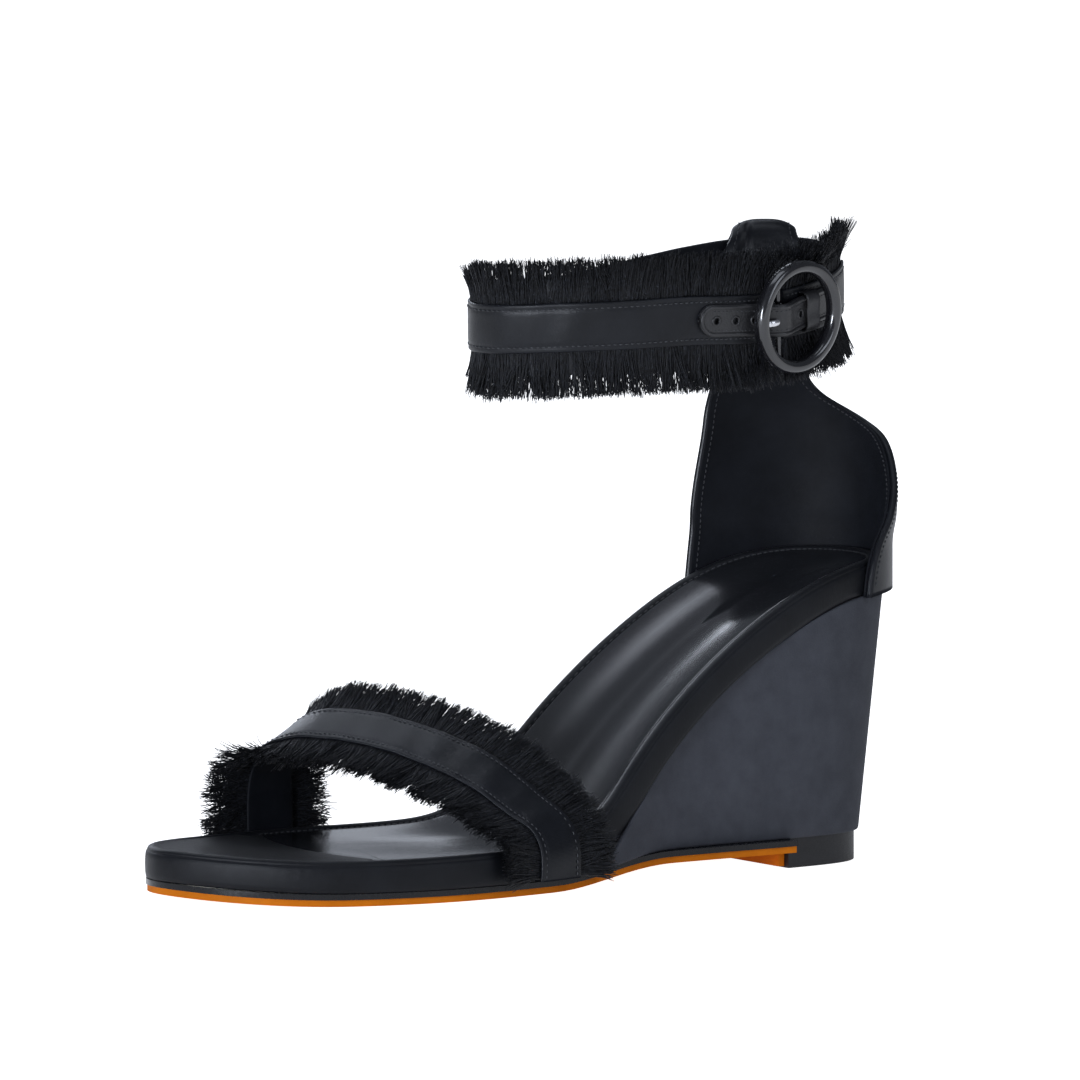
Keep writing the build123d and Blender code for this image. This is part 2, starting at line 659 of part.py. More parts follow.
# The tail's middle line beside the buckle, as (forward, out), rising over the bar
TAIL_BACK, TAIL_FRONT = -20.0, 29.5
ON_RIBBON = RIBBON_TOP + 0.15 + TAIL_THICKNESS / 2
OVER_BAR = BAR_HEIGHT + KNUCKLE_RADIUS + 0.15 + TAIL_THICKNESS / 2
tail_line = ([(x, height_beside_buckle(x, ON_RIBBON)) for x in (TAIL_BACK, -16, -12)]
             + [(-7, 4.0), (-2.5, 5.0), (1.5, 6.6), (BAR_FORWARD, OVER_BAR), (9.6, 5.9), (12.6, 3.55)]
             + [(x, height_beside_buckle(x, ON_RIBBON)) for x in (16.5, 20, 24, TAIL_FRONT + 1)])
HOLES = [-2.4, 12.4, 18.4, 24.4]
HOLE_RADIUS = 1.1
SLOT_BACK, SLOT_FRONT, SLOT_WIDTH = 4.0, 11.6, 2.0
THROUGH = 25.0

with BuildPart() as tail_plan:
    with BuildSketch(buckle_plane.offset(-10)):
        with Locations(((TAIL_BACK + TAIL_FRONT - TAIL_WIDTH / 2) / 2, 0)):
            Rectangle(TAIL_FRONT - TAIL_BACK - TAIL_WIDTH / 2, TAIL_WIDTH)
        with Locations((TAIL_FRONT - TAIL_WIDTH / 2, 0)):
            Circle(TAIL_WIDTH / 2)
    extrude(amount=THROUGH)

with BuildPart() as buckle_strap:
    with BuildSketch(buckle_side):
        with BuildLine():
            top = Spline(*lowered(tail_line, -TAIL_THICKNESS / 2))
            bottom = Spline(*lowered(tail_line, TAIL_THICKNESS / 2))
            Line(top @ 0, bottom @ 0)
            Line(top @ 1, bottom @ 1)
        make_face()
    extrude(amount=TAIL_WIDTH, both=True)
    add(tail_plan.part, mode=Mode.INTERSECT)
    with BuildSketch(buckle_plane.offset(-10)):
        with Locations(*[(hole, 0) for hole in HOLES]):
            Circle(HOLE_RADIUS)
        with Locations(((SLOT_BACK + SLOT_FRONT) / 2, 0)):
            SlotOverall(SLOT_FRONT - SLOT_BACK, SLOT_WIDTH)
    extrude(amount=THROUGH, mode=Mode.SUBTRACT)
buckle_strap.part.label = "buckle_strap"

CHAPE_HALF = TAIL_WIDTH / 2 - 0.2
CHAPE_WEB = 0.7
CHAPE_LOW = LAYER + GLUE
with BuildPart() as chape:
    with BuildSketch(bar_plane):
        Circle(KNUCKLE_RADIUS)
    extrude(amount=CHAPE_HALF, both=True)
    with BuildSketch(buckle_side):
        with Locations((GAP_FRONT - FIT - CHAPE_WEB / 2, (CHAPE_LOW + BAR_HEIGHT) / 2)):
            Rectangle(CHAPE_WEB, BAR_HEIGHT - CHAPE_LOW)
    extrude(amount=CHAPE_HALF, both=True)
    with BuildSketch(bar_plane):
        Circle(KNUCKLE_RADIUS + CHAPE_WEB)
    extrude(amount=KNUCKLE_HALF + FIT, both=True, mode=Mode.SUBTRACT)
    with BuildSketch(bar_plane):
        Circle(BAR_RADIUS + PIN_FIT)
    extrude(amount=TAIL_WIDTH, both=True, mode=Mode.SUBTRACT)
chape.part.label = "chape"

# The keeper bridges the tail inside the ring
KEEPER_FORWARD, KEEPER_LENGTH, KEEPER_WALL = -7.0, 4.8, 0.7
KEEPER_LOW, KEEPER_INSIDE = RIBBON_TOP + GLUE, 5.45
with BuildPart() as keeper:
    with BuildSketch(buckle_plane.offset(KEEPER_LOW)):
        with Locations((KEEPER_FORWARD, 0)):
            Rectangle(KEEPER_LENGTH, TAIL_WIDTH + 0.4 + 2 * KEEPER_WALL)
    extrude(amount=KEEPER_INSIDE + KEEPER_WALL - KEEPER_LOW)
    with BuildSketch(buckle_plane):
        with Locations((KEEPER_FORWARD, 0)):
            Rectangle(2 * KEEPER_LENGTH, TAIL_WIDTH + 0.4)
    extrude(amount=KEEPER_INSIDE, mode=Mode.SUBTRACT)
keeper.part.label = "keeper"

# --- Toe strap ---------------------------------------------------------------

# Stations of the toe strap from the outer to the inner side: centre of the inside face, and the
# direction across the strap towards the toe
TOE_STATIONS = [((39.2, -128, 4.0), (0.18, -1, 0)), ((39.4, -128, 9.0), (0.18, -1, 0)),
                ((38.2, -128.3, 14.5), (0.2, -0.97, -0.12)), ((30.5, -131.5, 21.0), (0.34, -0.88, -0.33)),
                ((20, -136, 28.0), (0.38, -0.81, -0.45)), ((6, -142.5, 34.0), (0.38, -0.8, -0.47)),
                ((-9, -150, 38.0), (0.38, -0.8, -0.45)), ((-24, -157, 39.3), (0.38, -0.8, -0.45)),
                ((-35, -162, 37.0), (0.33, -0.85, -0.4)), ((-41.2, -164.5, 30.0), (0.12, -0.97, -0.2)),
                ((-42.8, -165, 19.0), (0, -1, 0)), ((-42.6, -165, 4.0), (0, -1, 0))]
TOE_SECTIONS = 30
TOE_GAP = 0.2

with BuildLine():
    toe_edge = Spline(*[at(*centre) for centre, _ in TOE_STATIONS], tangents=((0, 0, 1), (0, 0, -1)))
toe_shares = [toe_edge.param_at_point(at(*centre)) for centre, _ in TOE_STATIONS]


def toe_across(share):
    """Direction across the toe strap, between its stations."""
    last = max(i for i in range(len(toe_shares) - 1) if toe_shares[i] <= share + 1e-6)
    part = (share - toe_shares[last]) / (toe_shares[last + 1] - toe_shares[last])
    before, after = Vector(*TOE_STATIONS[last][1]), Vector(*TOE_STATIONS[last + 1][1])
    return before + (after - before) * part


def toe_layer(inner, outer, width):
    """One layer of the toe strap, ruled between square sections."""
    with BuildPart() as layer:
        for i in range(TOE_SECTIONS + 1):
            share = i / TOE_SECTIONS
            with BuildSketch(Plane(toe_edge @ share, x_dir=toe_across(share), z_dir=toe_edge % share)):
                with Locations((0, (inner + outer) / 2)):
                    Rectangle(width, outer - inner)
        loft(ruled=True)
    return layer.part


with BuildPart() as vamp_lining:
    add(toe_layer(0.0, LAYER - TOE_GAP, TOE_RIBBON_WIDTH))
vamp_lining.part.label = "vamp_lining"
with BuildPart() as vamp_fringe:
    add(toe_layer(LAYER, RIBBON_BASE - TOE_GAP, TOE_RIBBON_WIDTH + 2 * FRINGE_LENGTH))
vamp_fringe.part.label = "vamp_fringe"
with BuildPart() as vamp_ribbon:
    add(toe_layer(RIBBON_BASE, RIBBON_TOP, TOE_RIBBON_WIDTH))
vamp_ribbon.part.label = "vamp_ribbon"

NODES = [outsole, sole_edge, heel_top_piece, top_piece_nails, wedge_core, wedge_cover, heel_screws,
         platform_wrap, platform_core, insole_board, shank, shank_rivets, footbed_cushion, sock_lining,
         counter_lining, counter_stiffener, counter_outer, vamp_lining, vamp_fringe, vamp_ribbon, heel_tab,
         ankle_lining, band_facing, ankle_fringe, back_fringe, ankle_ribbon, back_ribbon, buckle_strap,
         chape, keeper, buckle_ring, buckle_prong]
for node in NODES:
    export_step(node.part, "parts/" + node.part.label + ".step")

# Where the joints lie, for the record
print("bar", bar_plane.origin, "axis", bar_plane.z_dir)
print("tab", tab_plane.origin, "heading", tab_heading, "slide", tab_frame.x_dir)
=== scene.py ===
"""Black wedge sandal for the left foot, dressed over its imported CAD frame.

Lengths below are in millimetres of the shoe: the toe points to -y, the outer side of the foot is +x,
y = 0 is the back of the heel and z = 0 is the ground. place() turns them into metres of the row frame.
"""

from math import cos, pi, radians, sin

import bpy
import numpy as np
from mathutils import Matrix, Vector


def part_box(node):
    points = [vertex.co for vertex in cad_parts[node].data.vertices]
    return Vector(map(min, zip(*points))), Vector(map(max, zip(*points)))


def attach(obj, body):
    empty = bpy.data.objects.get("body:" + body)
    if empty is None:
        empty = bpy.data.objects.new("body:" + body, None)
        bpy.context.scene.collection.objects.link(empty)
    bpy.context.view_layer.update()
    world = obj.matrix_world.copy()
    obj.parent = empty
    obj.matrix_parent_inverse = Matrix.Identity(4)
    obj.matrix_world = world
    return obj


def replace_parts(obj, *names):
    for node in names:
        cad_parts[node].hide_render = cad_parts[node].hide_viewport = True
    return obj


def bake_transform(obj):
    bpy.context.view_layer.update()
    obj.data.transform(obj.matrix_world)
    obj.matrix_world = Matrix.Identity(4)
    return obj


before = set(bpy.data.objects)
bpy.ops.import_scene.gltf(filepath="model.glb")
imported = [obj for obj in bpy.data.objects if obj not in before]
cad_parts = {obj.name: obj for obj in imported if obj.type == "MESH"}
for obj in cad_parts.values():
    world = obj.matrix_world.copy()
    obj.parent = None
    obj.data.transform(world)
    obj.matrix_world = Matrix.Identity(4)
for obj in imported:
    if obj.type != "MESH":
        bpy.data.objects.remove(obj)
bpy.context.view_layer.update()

MM = 0.001
RIM_BACK_Y = -2.5
HEEL_BACK_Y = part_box("platform_wrap")[1][1] / MM - RIM_BACK_Y
CENTRE_X = (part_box("shank")[0][0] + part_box("shank")[1][0]) / 2 / MM
SHIFT = np.array([CENTRE_X, HEEL_BACK_Y, 0.0])
TAU = 2 * pi

# ---------------------------------------------------------------- shape of the shoe
# Side lines from heel to toe, as (y, z)
FOOTBED = [(2, 81.6), (-12, 81.2), (-27, 79.2), (-50, 70.2), (-70, 57.2), (-84, 45.5), (-98, 31.2),
           (-108, 20.6), (-118, 14.8), (-132, 12.6), (-160, 12.0), (-195, 12.0), (-230, 14.2)]
RIM_BOTTOM = [(4, 73.2), (-12, 72.6), (-25, 71.0), (-46, 63.0), (-66, 50.3), (-81, 37.6), (-93, 24.5),
              (-103, 13.0), (-112, 5.2), (-119, 2.0)]
# Outlines seen from above: (y, outer side x, inner side x)
PLAN = [(-2.5, 0, 0), (-5, 11, -11), (-13, 20.5, -20.5), (-28, 26.5, -26.5), (-60, 29.5, -29.0),
        (-90, 31.5, -31.0), (-113, 35.0, -33.5), (-138, 39.5, -38.5), (-160, 41.0, -41.5),
        (-180, 38.0, -41.0), (-198, 31.0, -37.0), (-212, 20.5, -28.0), (-221, 8.0, -17.0)]
TOE_TIP = (-6.0, -225.0)
WEDGE_TOP = [(-0.8, 0, 0), (-4, 12, -12), (-12, 21.5, -21.5), (-28, 28.0, -28.0), (-60, 29.0, -28.5),
             (-90, 31.0, -30.5), (-125, 35.5, -34.5)]
WEDGE_FOOT = [(-10.5, 0, 0), (-13, 10, -10), (-19, 17.8, -17.8), (-33, 22.8, -22.8), (-60, 25.0, -24.5),
              (-90, 30.0, -29.5), (-125, 35.5, -34.5)]
WEDGE_TOP_Z = 84.0
WEDGE_FRONT_Y = -118.0
SOLE_STACK = 3.4
WAIST_LIFT, WAIST_Y, WAIST_RUN = 4.6, -126, 42
TOE_SPRING, TOE_SPRING_Y, TOE_SPRING_RUN = 2.4, -188, 42
GLUE = 0.05
RIM_WIDTH = 4.2
SOCK_ARC = [(60.0, -164.0), (2.0, -183.0), (-60.0, -154.0)]

RIBBON_WIDTH = 13.4
TOE_RIBBON_WIDTH = 14.4
FRINGE_LENGTH = 12.0
LAYER = 0.9
WEB = 1.2
RIBBON_BASE = LAYER + WEB
RIBBON_TOP = RIBBON_BASE + LAYER


def place(points):
    """Shoe millimetres to metres of the row frame."""
    return (np.asarray(points, float) + SHIFT) * MM


def unit(v):
    """Vectors of length one."""
    return v / np.maximum(np.linalg.norm(v, axis=-1, keepdims=True), 1e-9)


def ease(t):
    """0 to 1 with level ends."""
    t = np.clip(t, 0, 1)
    return t * t * (3 - 2 * t)


def run_length(points):
    """Distance along a line of points, at each of them."""
    return np.concatenate([[0.0], np.cumsum(np.linalg.norm(np.diff(points, axis=0), axis=1))])


def read_line(at, marks, points):
    """Points at distances along a line whose points lie at the marks."""
    return np.stack([np.interp(at, marks, c) for c in points.T], axis=-1)


def turns(count):
    """Equal angles round a circle."""
    return np.arange(count) / count * TAU


def spokes(first, second, count):
    """Directions round a circle, in the plane of two unit directions."""
    turn = turns(count)[:, None]
    return first * np.cos(turn) + second * np.sin(turn)


class Smooth:
    """A smooth curve through points, read at shares of its length from 0 to 1."""

    def __init__(self, points, closed=False, samples=1200):
        p = np.array(points, float)
        if closed:
            p = np.vstack([p, p[:1]])
        knots = run_length(p)
        h = np.diff(knots)
        n = len(p)
        matrix = np.zeros((n, n))
        right = np.zeros_like(p)
        slope = np.diff(p, axis=0) / h[:, None]
        for i in range(1, n - 1):
            matrix[i, i - 1:i + 2] = h[i - 1], 2 * (h[i - 1] + h[i]), h[i]
            right[i] = 6 * (slope[i] - slope[i - 1])
        matrix[0, 0] = matrix[-1, -1] = 1
        if closed:
            matrix[0, -1] = -1
            matrix[-1, :] = 0
            matrix[-1, 0] += 2 * h[0]
            matrix[-1, 1] += h[0]
            matrix[-1, -2] += h[-1]
            matrix[-1, -1] += 2 * h[-1]
            right[-1] = 6 * (slope[0] - slope[-1])
        bend = np.linalg.solve(matrix, right)
        u = np.linspace(0, knots[-1], samples + 1)
        i = np.clip(np.searchsorted(knots, u, side="right") - 1, 0, n - 2)
        a = ((knots[i + 1] - u) / h[i])[:, None]
        b = 1 - a
        span = (h[i] ** 2)[:, None] / 6
        self.points = a * p[i] + b * p[i + 1] + ((a ** 3 - a) * bend[i] + (b ** 3 - b) * bend[i + 1]) * span
        self.lengths = run_length(self.points)
        self.length = self.lengths[-1]
        self.closed = closed

    def __call__(self, share):
        """Points at shares of the length."""
        share = np.asarray(share, float)
        s = (share % 1.0 if self.closed else np.clip(share, 0, 1)) * self.length
        return read_line(s, self.lengths, self.points)

    def heading(self, share, step=0.002):
        """Unit direction at shares of the length."""
        share = np.asarray(share, float)
        return unit(self(share + step) - self(share - step))


def line_height(points):
    """A side line as a function of y."""
    curve = Smooth(points).points
    order = np.argsort(curve[:, 0])
    return lambda y: np.interp(y, curve[order, 0], curve[order, 1])


footbed_z = line_height(FOOTBED)
rim_line_z = line_height(RIM_BOTTOM)


def sole_z(y, rise):
    """Height of the shoe's bottom line, raised by rise: level, lifted at the waist, sprung at the toe."""
    y = np.asarray(y, float)
    waist = WAIST_LIFT * ease((y - WAIST_Y) / WAIST_RUN)
    toe = TOE_SPRING * np.clip((TOE_SPRING_Y - y) / TOE_SPRING_RUN, 0, 1) ** 1.7
    return rise + waist + toe


def rim_bottom_z(y):
    """Lower edge of the rim: on the wedge at the back, on the sole edge at the front."""
    return np.maximum(rim_line_z(y) * (np.asarray(y) > WEDGE_FRONT_Y), sole_z(y, SOLE_STACK + GLUE))


def plan_ring(stations, front=None):
    """Outline points, from the heel's back round by the outer side."""
    outer = [(x, y) for y, x, _ in stations[1:]]
    inner = [(x, y) for y, _, x in stations[1:]]
    return [(0.0, stations[0][0])] + outer + ([front] if front else []) + inner[::-1]


outline = Smooth(plan_ring(PLAN, TOE_TIP), closed=True, samples=3000)


def inward(share):
    """Direction from the outline into the shoe, seen from above."""
    t = outline.heading(share)
    return np.stack([t[..., 1], -t[..., 0]], axis=-1)


# ---------------------------------------------------------------- mesh helpers

def grid_faces(rows, cols, wrap_rows=False, wrap_cols=False, flip=False):
    """Quads over a grid of points kept row by row."""
    r = np.arange(rows if wrap_rows else rows - 1)[:, None]
    c = np.arange(cols if wrap_cols else cols - 1)[None, :]
    r2 = (r + 1) % rows
    c2 = (c + 1) % cols
    quads = np.stack([r * cols + c, r * cols + c2, r2 * cols + c2, r2 * cols + c], axis=-1).reshape(-1, 4)
    return quads[:, ::-1] if flip else quads


def add_mesh(name, points, faces, material, body, lay=None):
    """A smooth-shaded piece riding on a body. lay is each point's place on the cloth, in millimetres."""
    mesh = bpy.data.meshes.new(name)
    mesh.from_pydata(place(points).tolist(), [], [list(map(int, f)) for f in faces])
    mesh.polygons.foreach_set("use_smooth", [True] * len(mesh.polygons))
    mesh.materials.append(material)
    if lay is not None:
        layer = mesh.uv_layers.new(name="lay")
        corner = np.zeros(len(mesh.loops), dtype=np.int32)
        mesh.loops.foreach_get("vertex_index", corner)
        layer.data.foreach_set("uv", np.asarray(lay, np.float32)[corner].ravel())
    mesh.update()
    mesh.validate()
    piece = bpy.data.objects.new(name, mesh)
    bpy.context.scene.collection.objects.link(piece)
    if body:
        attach(piece, body)
    return piece


def add_grid(name, points, material, body, wrap_rows=False, wrap_cols=False, flip=False, caps=False,
             lay=None):
    """A piece from a grid of points. caps close its end rows, and lay is (along, across) on the cloth."""
    rows, cols = points.shape[:2]
    faces = grid_faces(rows, cols, wrap_rows, wrap_cols, flip).tolist()
    if caps:
        first = list(range(cols))
        last = list(range((rows - 1) * cols, rows * cols))
        faces += [first[::-1], last] if flip else [first, last[::-1]]
    if lay is not None:
        lay = np.stack([np.broadcast_to(part, (rows, cols)) for part in lay], axis=-1).reshape(-1, 2)
    return add_mesh(name, points.reshape(-1, 3), faces, material, body, lay)


def strap_profile(width, low, high, columns=22, round_share=0.5):
    """Closed section of a flat strap as (across, out), with round edges; the upper face comes first."""
    r = (high - low) * round_share
    half = width / 2
    upper = np.stack([np.linspace(-half + r, half - r, columns), np.full(columns, high)], axis=-1)
    turn = np.linspace(pi / 2, -pi / 2, 7)[1:-1]
    right = np.stack([half - r + r * np.cos(turn), (low + high) / 2 + (high - low) / 2 * np.sin(turn)],
                     axis=-1)
    lower_columns = max(columns // 2, 2)
    lower = np.stack([np.linspace(half - r, -half + r, lower_columns), np.full(lower_columns, low)], axis=-1)
    left = np.stack([-right[::-1, 0], right[::-1, 1]], axis=-1)
    return np.vstack([upper, right, lower, left])


def tube_profile(radius_across, radius_out, sides=12):
    """Closed oval section."""
    turn = turns(sides)
    return np.stack([radius_across * np.cos(turn), radius_out * np.sin(turn)], axis=-1)


def each_row(section, rows):
    """One section repeated for every row, free to be changed."""
    return np.broadcast_to(section, (rows,) + section.shape).copy()


def sweep(name, path, across, out, profile, material, body, closed=False):
    """A closed section carried along a path, with capped ends. profile is one section or one per station."""
    across, out = (np.broadcast_to(way, path.shape)[:, None, :] for way in (across, out))
    profile = np.asarray(profile, float)
    if profile.ndim == 2:
        profile = each_row(profile, len(path))
    points = path[:, None, :] + across * profile[..., 0:1] + out * profile[..., 1:2]
    return add_grid(name, points, material, body, wrap_rows=closed, wrap_cols=True, caps=not closed,
                    lay=(run_length(path)[:, None], profile[..., 0]))


STITCH_PITCH, STITCH_LENGTH = 1.5, 1.05


def stitch_row(name, centres, along, out, body, length=STITCH_LENGTH, radius=0.17):
    """A row of short sewn threads, each dipping into the cloth at both ends."""
    side = unit(np.cross(along, out))
    t = np.array([-1.0, -0.82, -0.35, 0.35, 0.82, 1.0])
    width = np.array([0.0, 0.62, 1.0, 1.0, 0.62, 0.0]) * radius
    lift = radius * (0.55 - 1.3 * t ** 4)
    knots, sides = len(t), 6
    section = tube_profile(1.0, 1.0, sides)
    reach = (t * length / 2)[:, None]
    rise = lift[:, None] + width[:, None] * section[:, 1]
    spread = width[:, None] * section[:, 0]
    ring = (centres[:, None, None, :] + along[:, None, None, :] * reach[..., None]
            + out[:, None, None, :] * rise[..., None] + side[:, None, None, :] * spread[..., None])
    block = grid_faces(knots, sides, wrap_cols=True)
    first = np.arange(len(centres)) * knots * sides
    faces = (block[None] + first[:, None, None]).reshape(-1, 4)
    return add_mesh(name, ring.reshape(-1, 3), faces, sewing_thread, body)


def seam(line, first, gap):
    """Stitch places along a line of points, from first to gap before its end, with the direction there."""
    lengths = run_length(line)
    marks = np.arange(first, lengths[-1] - gap, STITCH_PITCH)
    spot = read_line(marks, lengths, line)
    return spot, unit(read_line(marks + 0.4, lengths, line) - spot)


# ---------------------------------------------------------------- materials

def new_material(name):
    """A material with its node tree and its Principled shader."""
    material = bpy.data.materials.new(name)
    material.use_nodes = True
    tree = material.node_tree
    return material, tree, tree.nodes["Principled BSDF"]


def set_inputs(made, values):
    """Plain values on a node's own sockets, by name."""
    for key, value in values.items():
        made.inputs[key].default_value = value


def node(tree, kind, **values):
    """A shader node with its unlinked inputs set by name."""
    made = tree.nodes.new(kind)
    set_inputs(made, values)
    return made


def object_coordinates(tree):
    """Object coordinates in millimetres."""
    source = tree.nodes.new("ShaderNodeTexCoord")
    scale = tree.nodes.new("ShaderNodeVectorMath")
    scale.operation = "SCALE"
    set_inputs(scale, {"Scale": 1 / MM})
    tree.links.new(source.outputs["Object"], scale.inputs[0])
    return scale.outputs[0]


def cloth_coordinates(tree):
    """Place on the cloth, in millimetres along and across it."""
    source = tree.nodes.new("ShaderNodeUVMap")
    source.uv_map = "lay"
    return source.outputs["UV"]


def noise(tree, where, scale, detail=3.0, roughness=0.55, stretch=None):
    """Noise of so many waves a millimetre."""
    if stretch:
        mapping = node(tree, "ShaderNodeMapping", Scale=stretch)
        tree.links.new(where, mapping.inputs["Vector"])
        where = mapping.outputs["Vector"]
    made = node(tree, "ShaderNodeTexNoise", Scale=scale, Detail=detail, Roughness=roughness)
    tree.links.new(where, made.inputs["Vector"])
    return made.outputs["Fac"]


def ramp(tree, source, low, high, a, b):
    """source between low and high, turned into the range or colours a to b."""
    if isinstance(a, tuple):
        made = tree.nodes.new("ShaderNodeValToRGB")
        for stop, where, colour in zip(made.color_ramp.elements, (low, high), (a, b)):
            stop.position = where
            stop.color = (*colour, 1)
        tree.links.new(source, made.inputs["Fac"])
        return made.outputs["Color"]
    made = node(tree, "ShaderNodeMapRange", **{"From Min": low, "From Max": high, "To Min": a, "To Max": b})
    tree.links.new(source, made.inputs["Value"])
    return made.outputs["Result"]


def bump(tree, shader, heights, strengths, distance=0.00012):
    """Bumps laid on top of each other."""
    normal = None
    for height, strength in zip(heights, strengths):
        made = node(tree, "ShaderNodeBump", Strength=strength, Distance=distance)
        tree.links.new(height, made.inputs["Height"])
        if normal:
            tree.links.new(normal, made.inputs["Normal"])
        normal = made.outputs["Normal"]
    tree.links.new(normal, shader.inputs["Normal"])


def colour_and_gloss(tree, shader, colour, rough, settings):
    """colour and rough are what ramp() takes after the tree; settings are the shader's plain values."""
    tree.links.new(ramp(tree, *colour), shader.inputs["Base Color"])
    tree.links.new(ramp(tree, *rough), shader.inputs["Roughness"])
    set_inputs(shader, settings)


def satin(name, dark=(0.0032, 0.0038, 0.0055), light=(0.0070, 0.0080, 0.0110), rough=(0.27, 0.38), sheen=0.01,
          specular=0.24):
    """Woven satin: fine ribs across the strap, soft blotches and a dull sheen."""
    material, tree, shader = new_material(name)
    cloth = cloth_coordinates(tree)
    thread = noise(tree, cloth, 2.2, stretch=(3.4, 0.5, 1.0))
    rib = node(tree, "ShaderNodeTexWave", Scale=1.1, Distortion=1.6, Detail=2.0)
    rib.bands_direction = "X"
    tree.links.new(cloth, rib.inputs["Vector"])
    blotch = noise(tree, object_coordinates(tree), 0.09, detail=4.0)
    colour_and_gloss(tree, shader, (blotch, 0.3, 0.75, dark, light), (thread, 0.25, 0.8, *rough),
                     {"Specular IOR Level": specular, "Sheen Weight": sheen, "Sheen Roughness": 0.45})
    bump(tree, shader, [rib.outputs["Fac"], thread, blotch], [0.18, 0.3, 0.35])
    return material


def grained(name, dark, light, rough, grain_scale, grain_strength, specular=0.4, coat=0.0, coat_rough=0.2,
            patch_scale=0.05):
    """Leather, nubuck, rubber, board or foam: cell grain, pores and slow colour change."""
    material, tree, shader = new_material(name)
    where = object_coordinates(tree)
    patch = noise(tree, where, patch_scale, detail=5.0, roughness=0.62)
    pores = noise(tree, where, grain_scale * 2.7, detail=4.0)
    cells = node(tree, "ShaderNodeTexVoronoi", Scale=grain_scale)
    tree.links.new(where, cells.inputs["Vector"])
    colour_and_gloss(tree, shader, (patch, 0.3, 0.72, dark, light), (pores, 0.3, 0.75, *rough),
                     {"Specular IOR Level": specular, "Coat Weight": coat, "Coat Roughness": coat_rough})
    bump(tree, shader, [cells.outputs["Distance"], pores], [grain_strength, grain_strength * 0.8])
    return material


def metal(name, dark, light, rough):
    """Polished or brushed metal with faint scuffs."""
    material, tree, shader = new_material(name)
    scuff = noise(tree, object_coordinates(tree), 1.4, detail=6.0, stretch=(1.0, 1.0, 4.0))
    colour_and_gloss(tree, shader, (scuff, 0.35, 0.7, dark, light), (scuff, 0.3, 0.8, *rough),
                     {"Metallic": 1.0})
    bump(tree, shader, [scuff], [0.06])
    return material


def thread_material(name, dark, light):
    """Twisted yarn: lighter streaks along the thread, partly random tone and partly painted highlight; dull
    with a little sheen.
    """
    material, tree, shader = new_material(name)
    where = object_coordinates(tree)
    # Lighter streaks along the threads: partly the yarn's random tone, partly a painted highlight standing in
    # for sheen on the threads.
    tone_and_painted_highlight = noise(tree, where, 1.3, detail=4.0)
    colour_and_gloss(tree, shader, (tone_and_painted_highlight, 0.42, 0.72, dark, light), (tone_and_painted_highlight, 0.3, 0.7, 0.38, 0.6),
                     {"Specular IOR Level": 0.25, "Sheen Weight": 0.02})
    bump(tree, shader, [noise(tree, where, 6.0)], [0.2])
    return material


ribbon_satin = satin("ribbon_satin")
lining_satin = satin("lining_satin", rough=(0.5, 0.65), sheen=0.0, specular=0.12)
rim_satin = satin("rim_satin", (0.0032, 0.0036, 0.0050), (0.0060, 0.0068, 0.0090), (0.36, 0.5), 0.01, 0.18)
fringe_thread = thread_material("fringe_thread", (0.0015, 0.0017, 0.0024), (0.017, 0.019, 0.025))
sewing_thread = thread_material("sewing_thread", (0.03, 0.031, 0.034), (0.06, 0.062, 0.068))
nubuck = grained("wedge_nubuck", (0.036, 0.0385, 0.047), (0.050, 0.053, 0.064), (0.72, 0.9), 1.6, 0.3, 0.25,
                 patch_scale=0.13)
sock_leather = grained("sock_leather", (0.0075, 0.008, 0.0095), (0.012, 0.013, 0.015), (0.15, 0.21), 2.2,
                       0.06, 0.5, coat=0.2, coat_rough=0.12)
strap_leather = grained("strap_leather", (0.008, 0.008, 0.009), (0.02, 0.02, 0.022), (0.28, 0.45), 1.7, 0.35,
                        0.5)
edge_paint = grained("edge_paint", (0.005, 0.005, 0.006), (0.010, 0.010, 0.011), (0.16, 0.34), 0.35, 0.12,
                     0.2, coat=0.15, coat_rough=0.15)
outsole_tan = grained("outsole_tan", (0.40, 0.105, 0.003), (0.56, 0.155, 0.006), (0.5, 0.65), 1.1, 0.25, 0.06)
top_piece_rubber = grained("top_piece_rubber", (0.006, 0.006, 0.007), (0.013, 0.013, 0.015), (0.4, 0.6), 1.2,
                           0.25)
enamel = grained("black_enamel", (0.004, 0.004, 0.005), (0.009, 0.009, 0.011), (0.16, 0.26), 0.5, 0.03, 0.6,
                 coat=0.7, coat_rough=0.08)
prong_metal = metal("prong_metal", (0.62, 0.62, 0.64), (0.85, 0.85, 0.86), (0.14, 0.3))
steel = metal("fastener_steel", (0.30, 0.30, 0.31), (0.5, 0.5, 0.52), (0.3, 0.5))
cushion_foam = grained("cushion_foam", (0.55, 0.52, 0.44), (0.68, 0.65, 0.56), (0.85, 0.95), 1.6, 0.4)
foam = grained("foam", (0.55, 0.52, 0.44), (0.68, 0.65, 0.56), (0.85, 0.95), 1.4, 0.5)
board = grained("board", (0.30, 0.22, 0.13), (0.42, 0.32, 0.20), (0.8, 0.92), 0.8, 0.35)
plastic = grained("core_plastic", (0.05, 0.05, 0.052), (0.075, 0.075, 0.08), (0.4, 0.55), 0.7, 0.1)

CARRIED = {"outsole": outsole_tan, "sole_edge": edge_paint, "heel_top_piece": top_piece_rubber,
           "top_piece_nails": steel, "wedge_core": plastic, "heel_screws": steel, "platform_core": foam,
           "insole_board": board, "shank": steel, "shank_rivets": steel}
for name, material in CARRIED.items():
    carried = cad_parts[name]
    if not carried.material_slots:
        carried.data.materials.append(material)
    for slot in carried.material_slots:
        slot.material = material

# ---------------------------------------------------------------- rim and sock

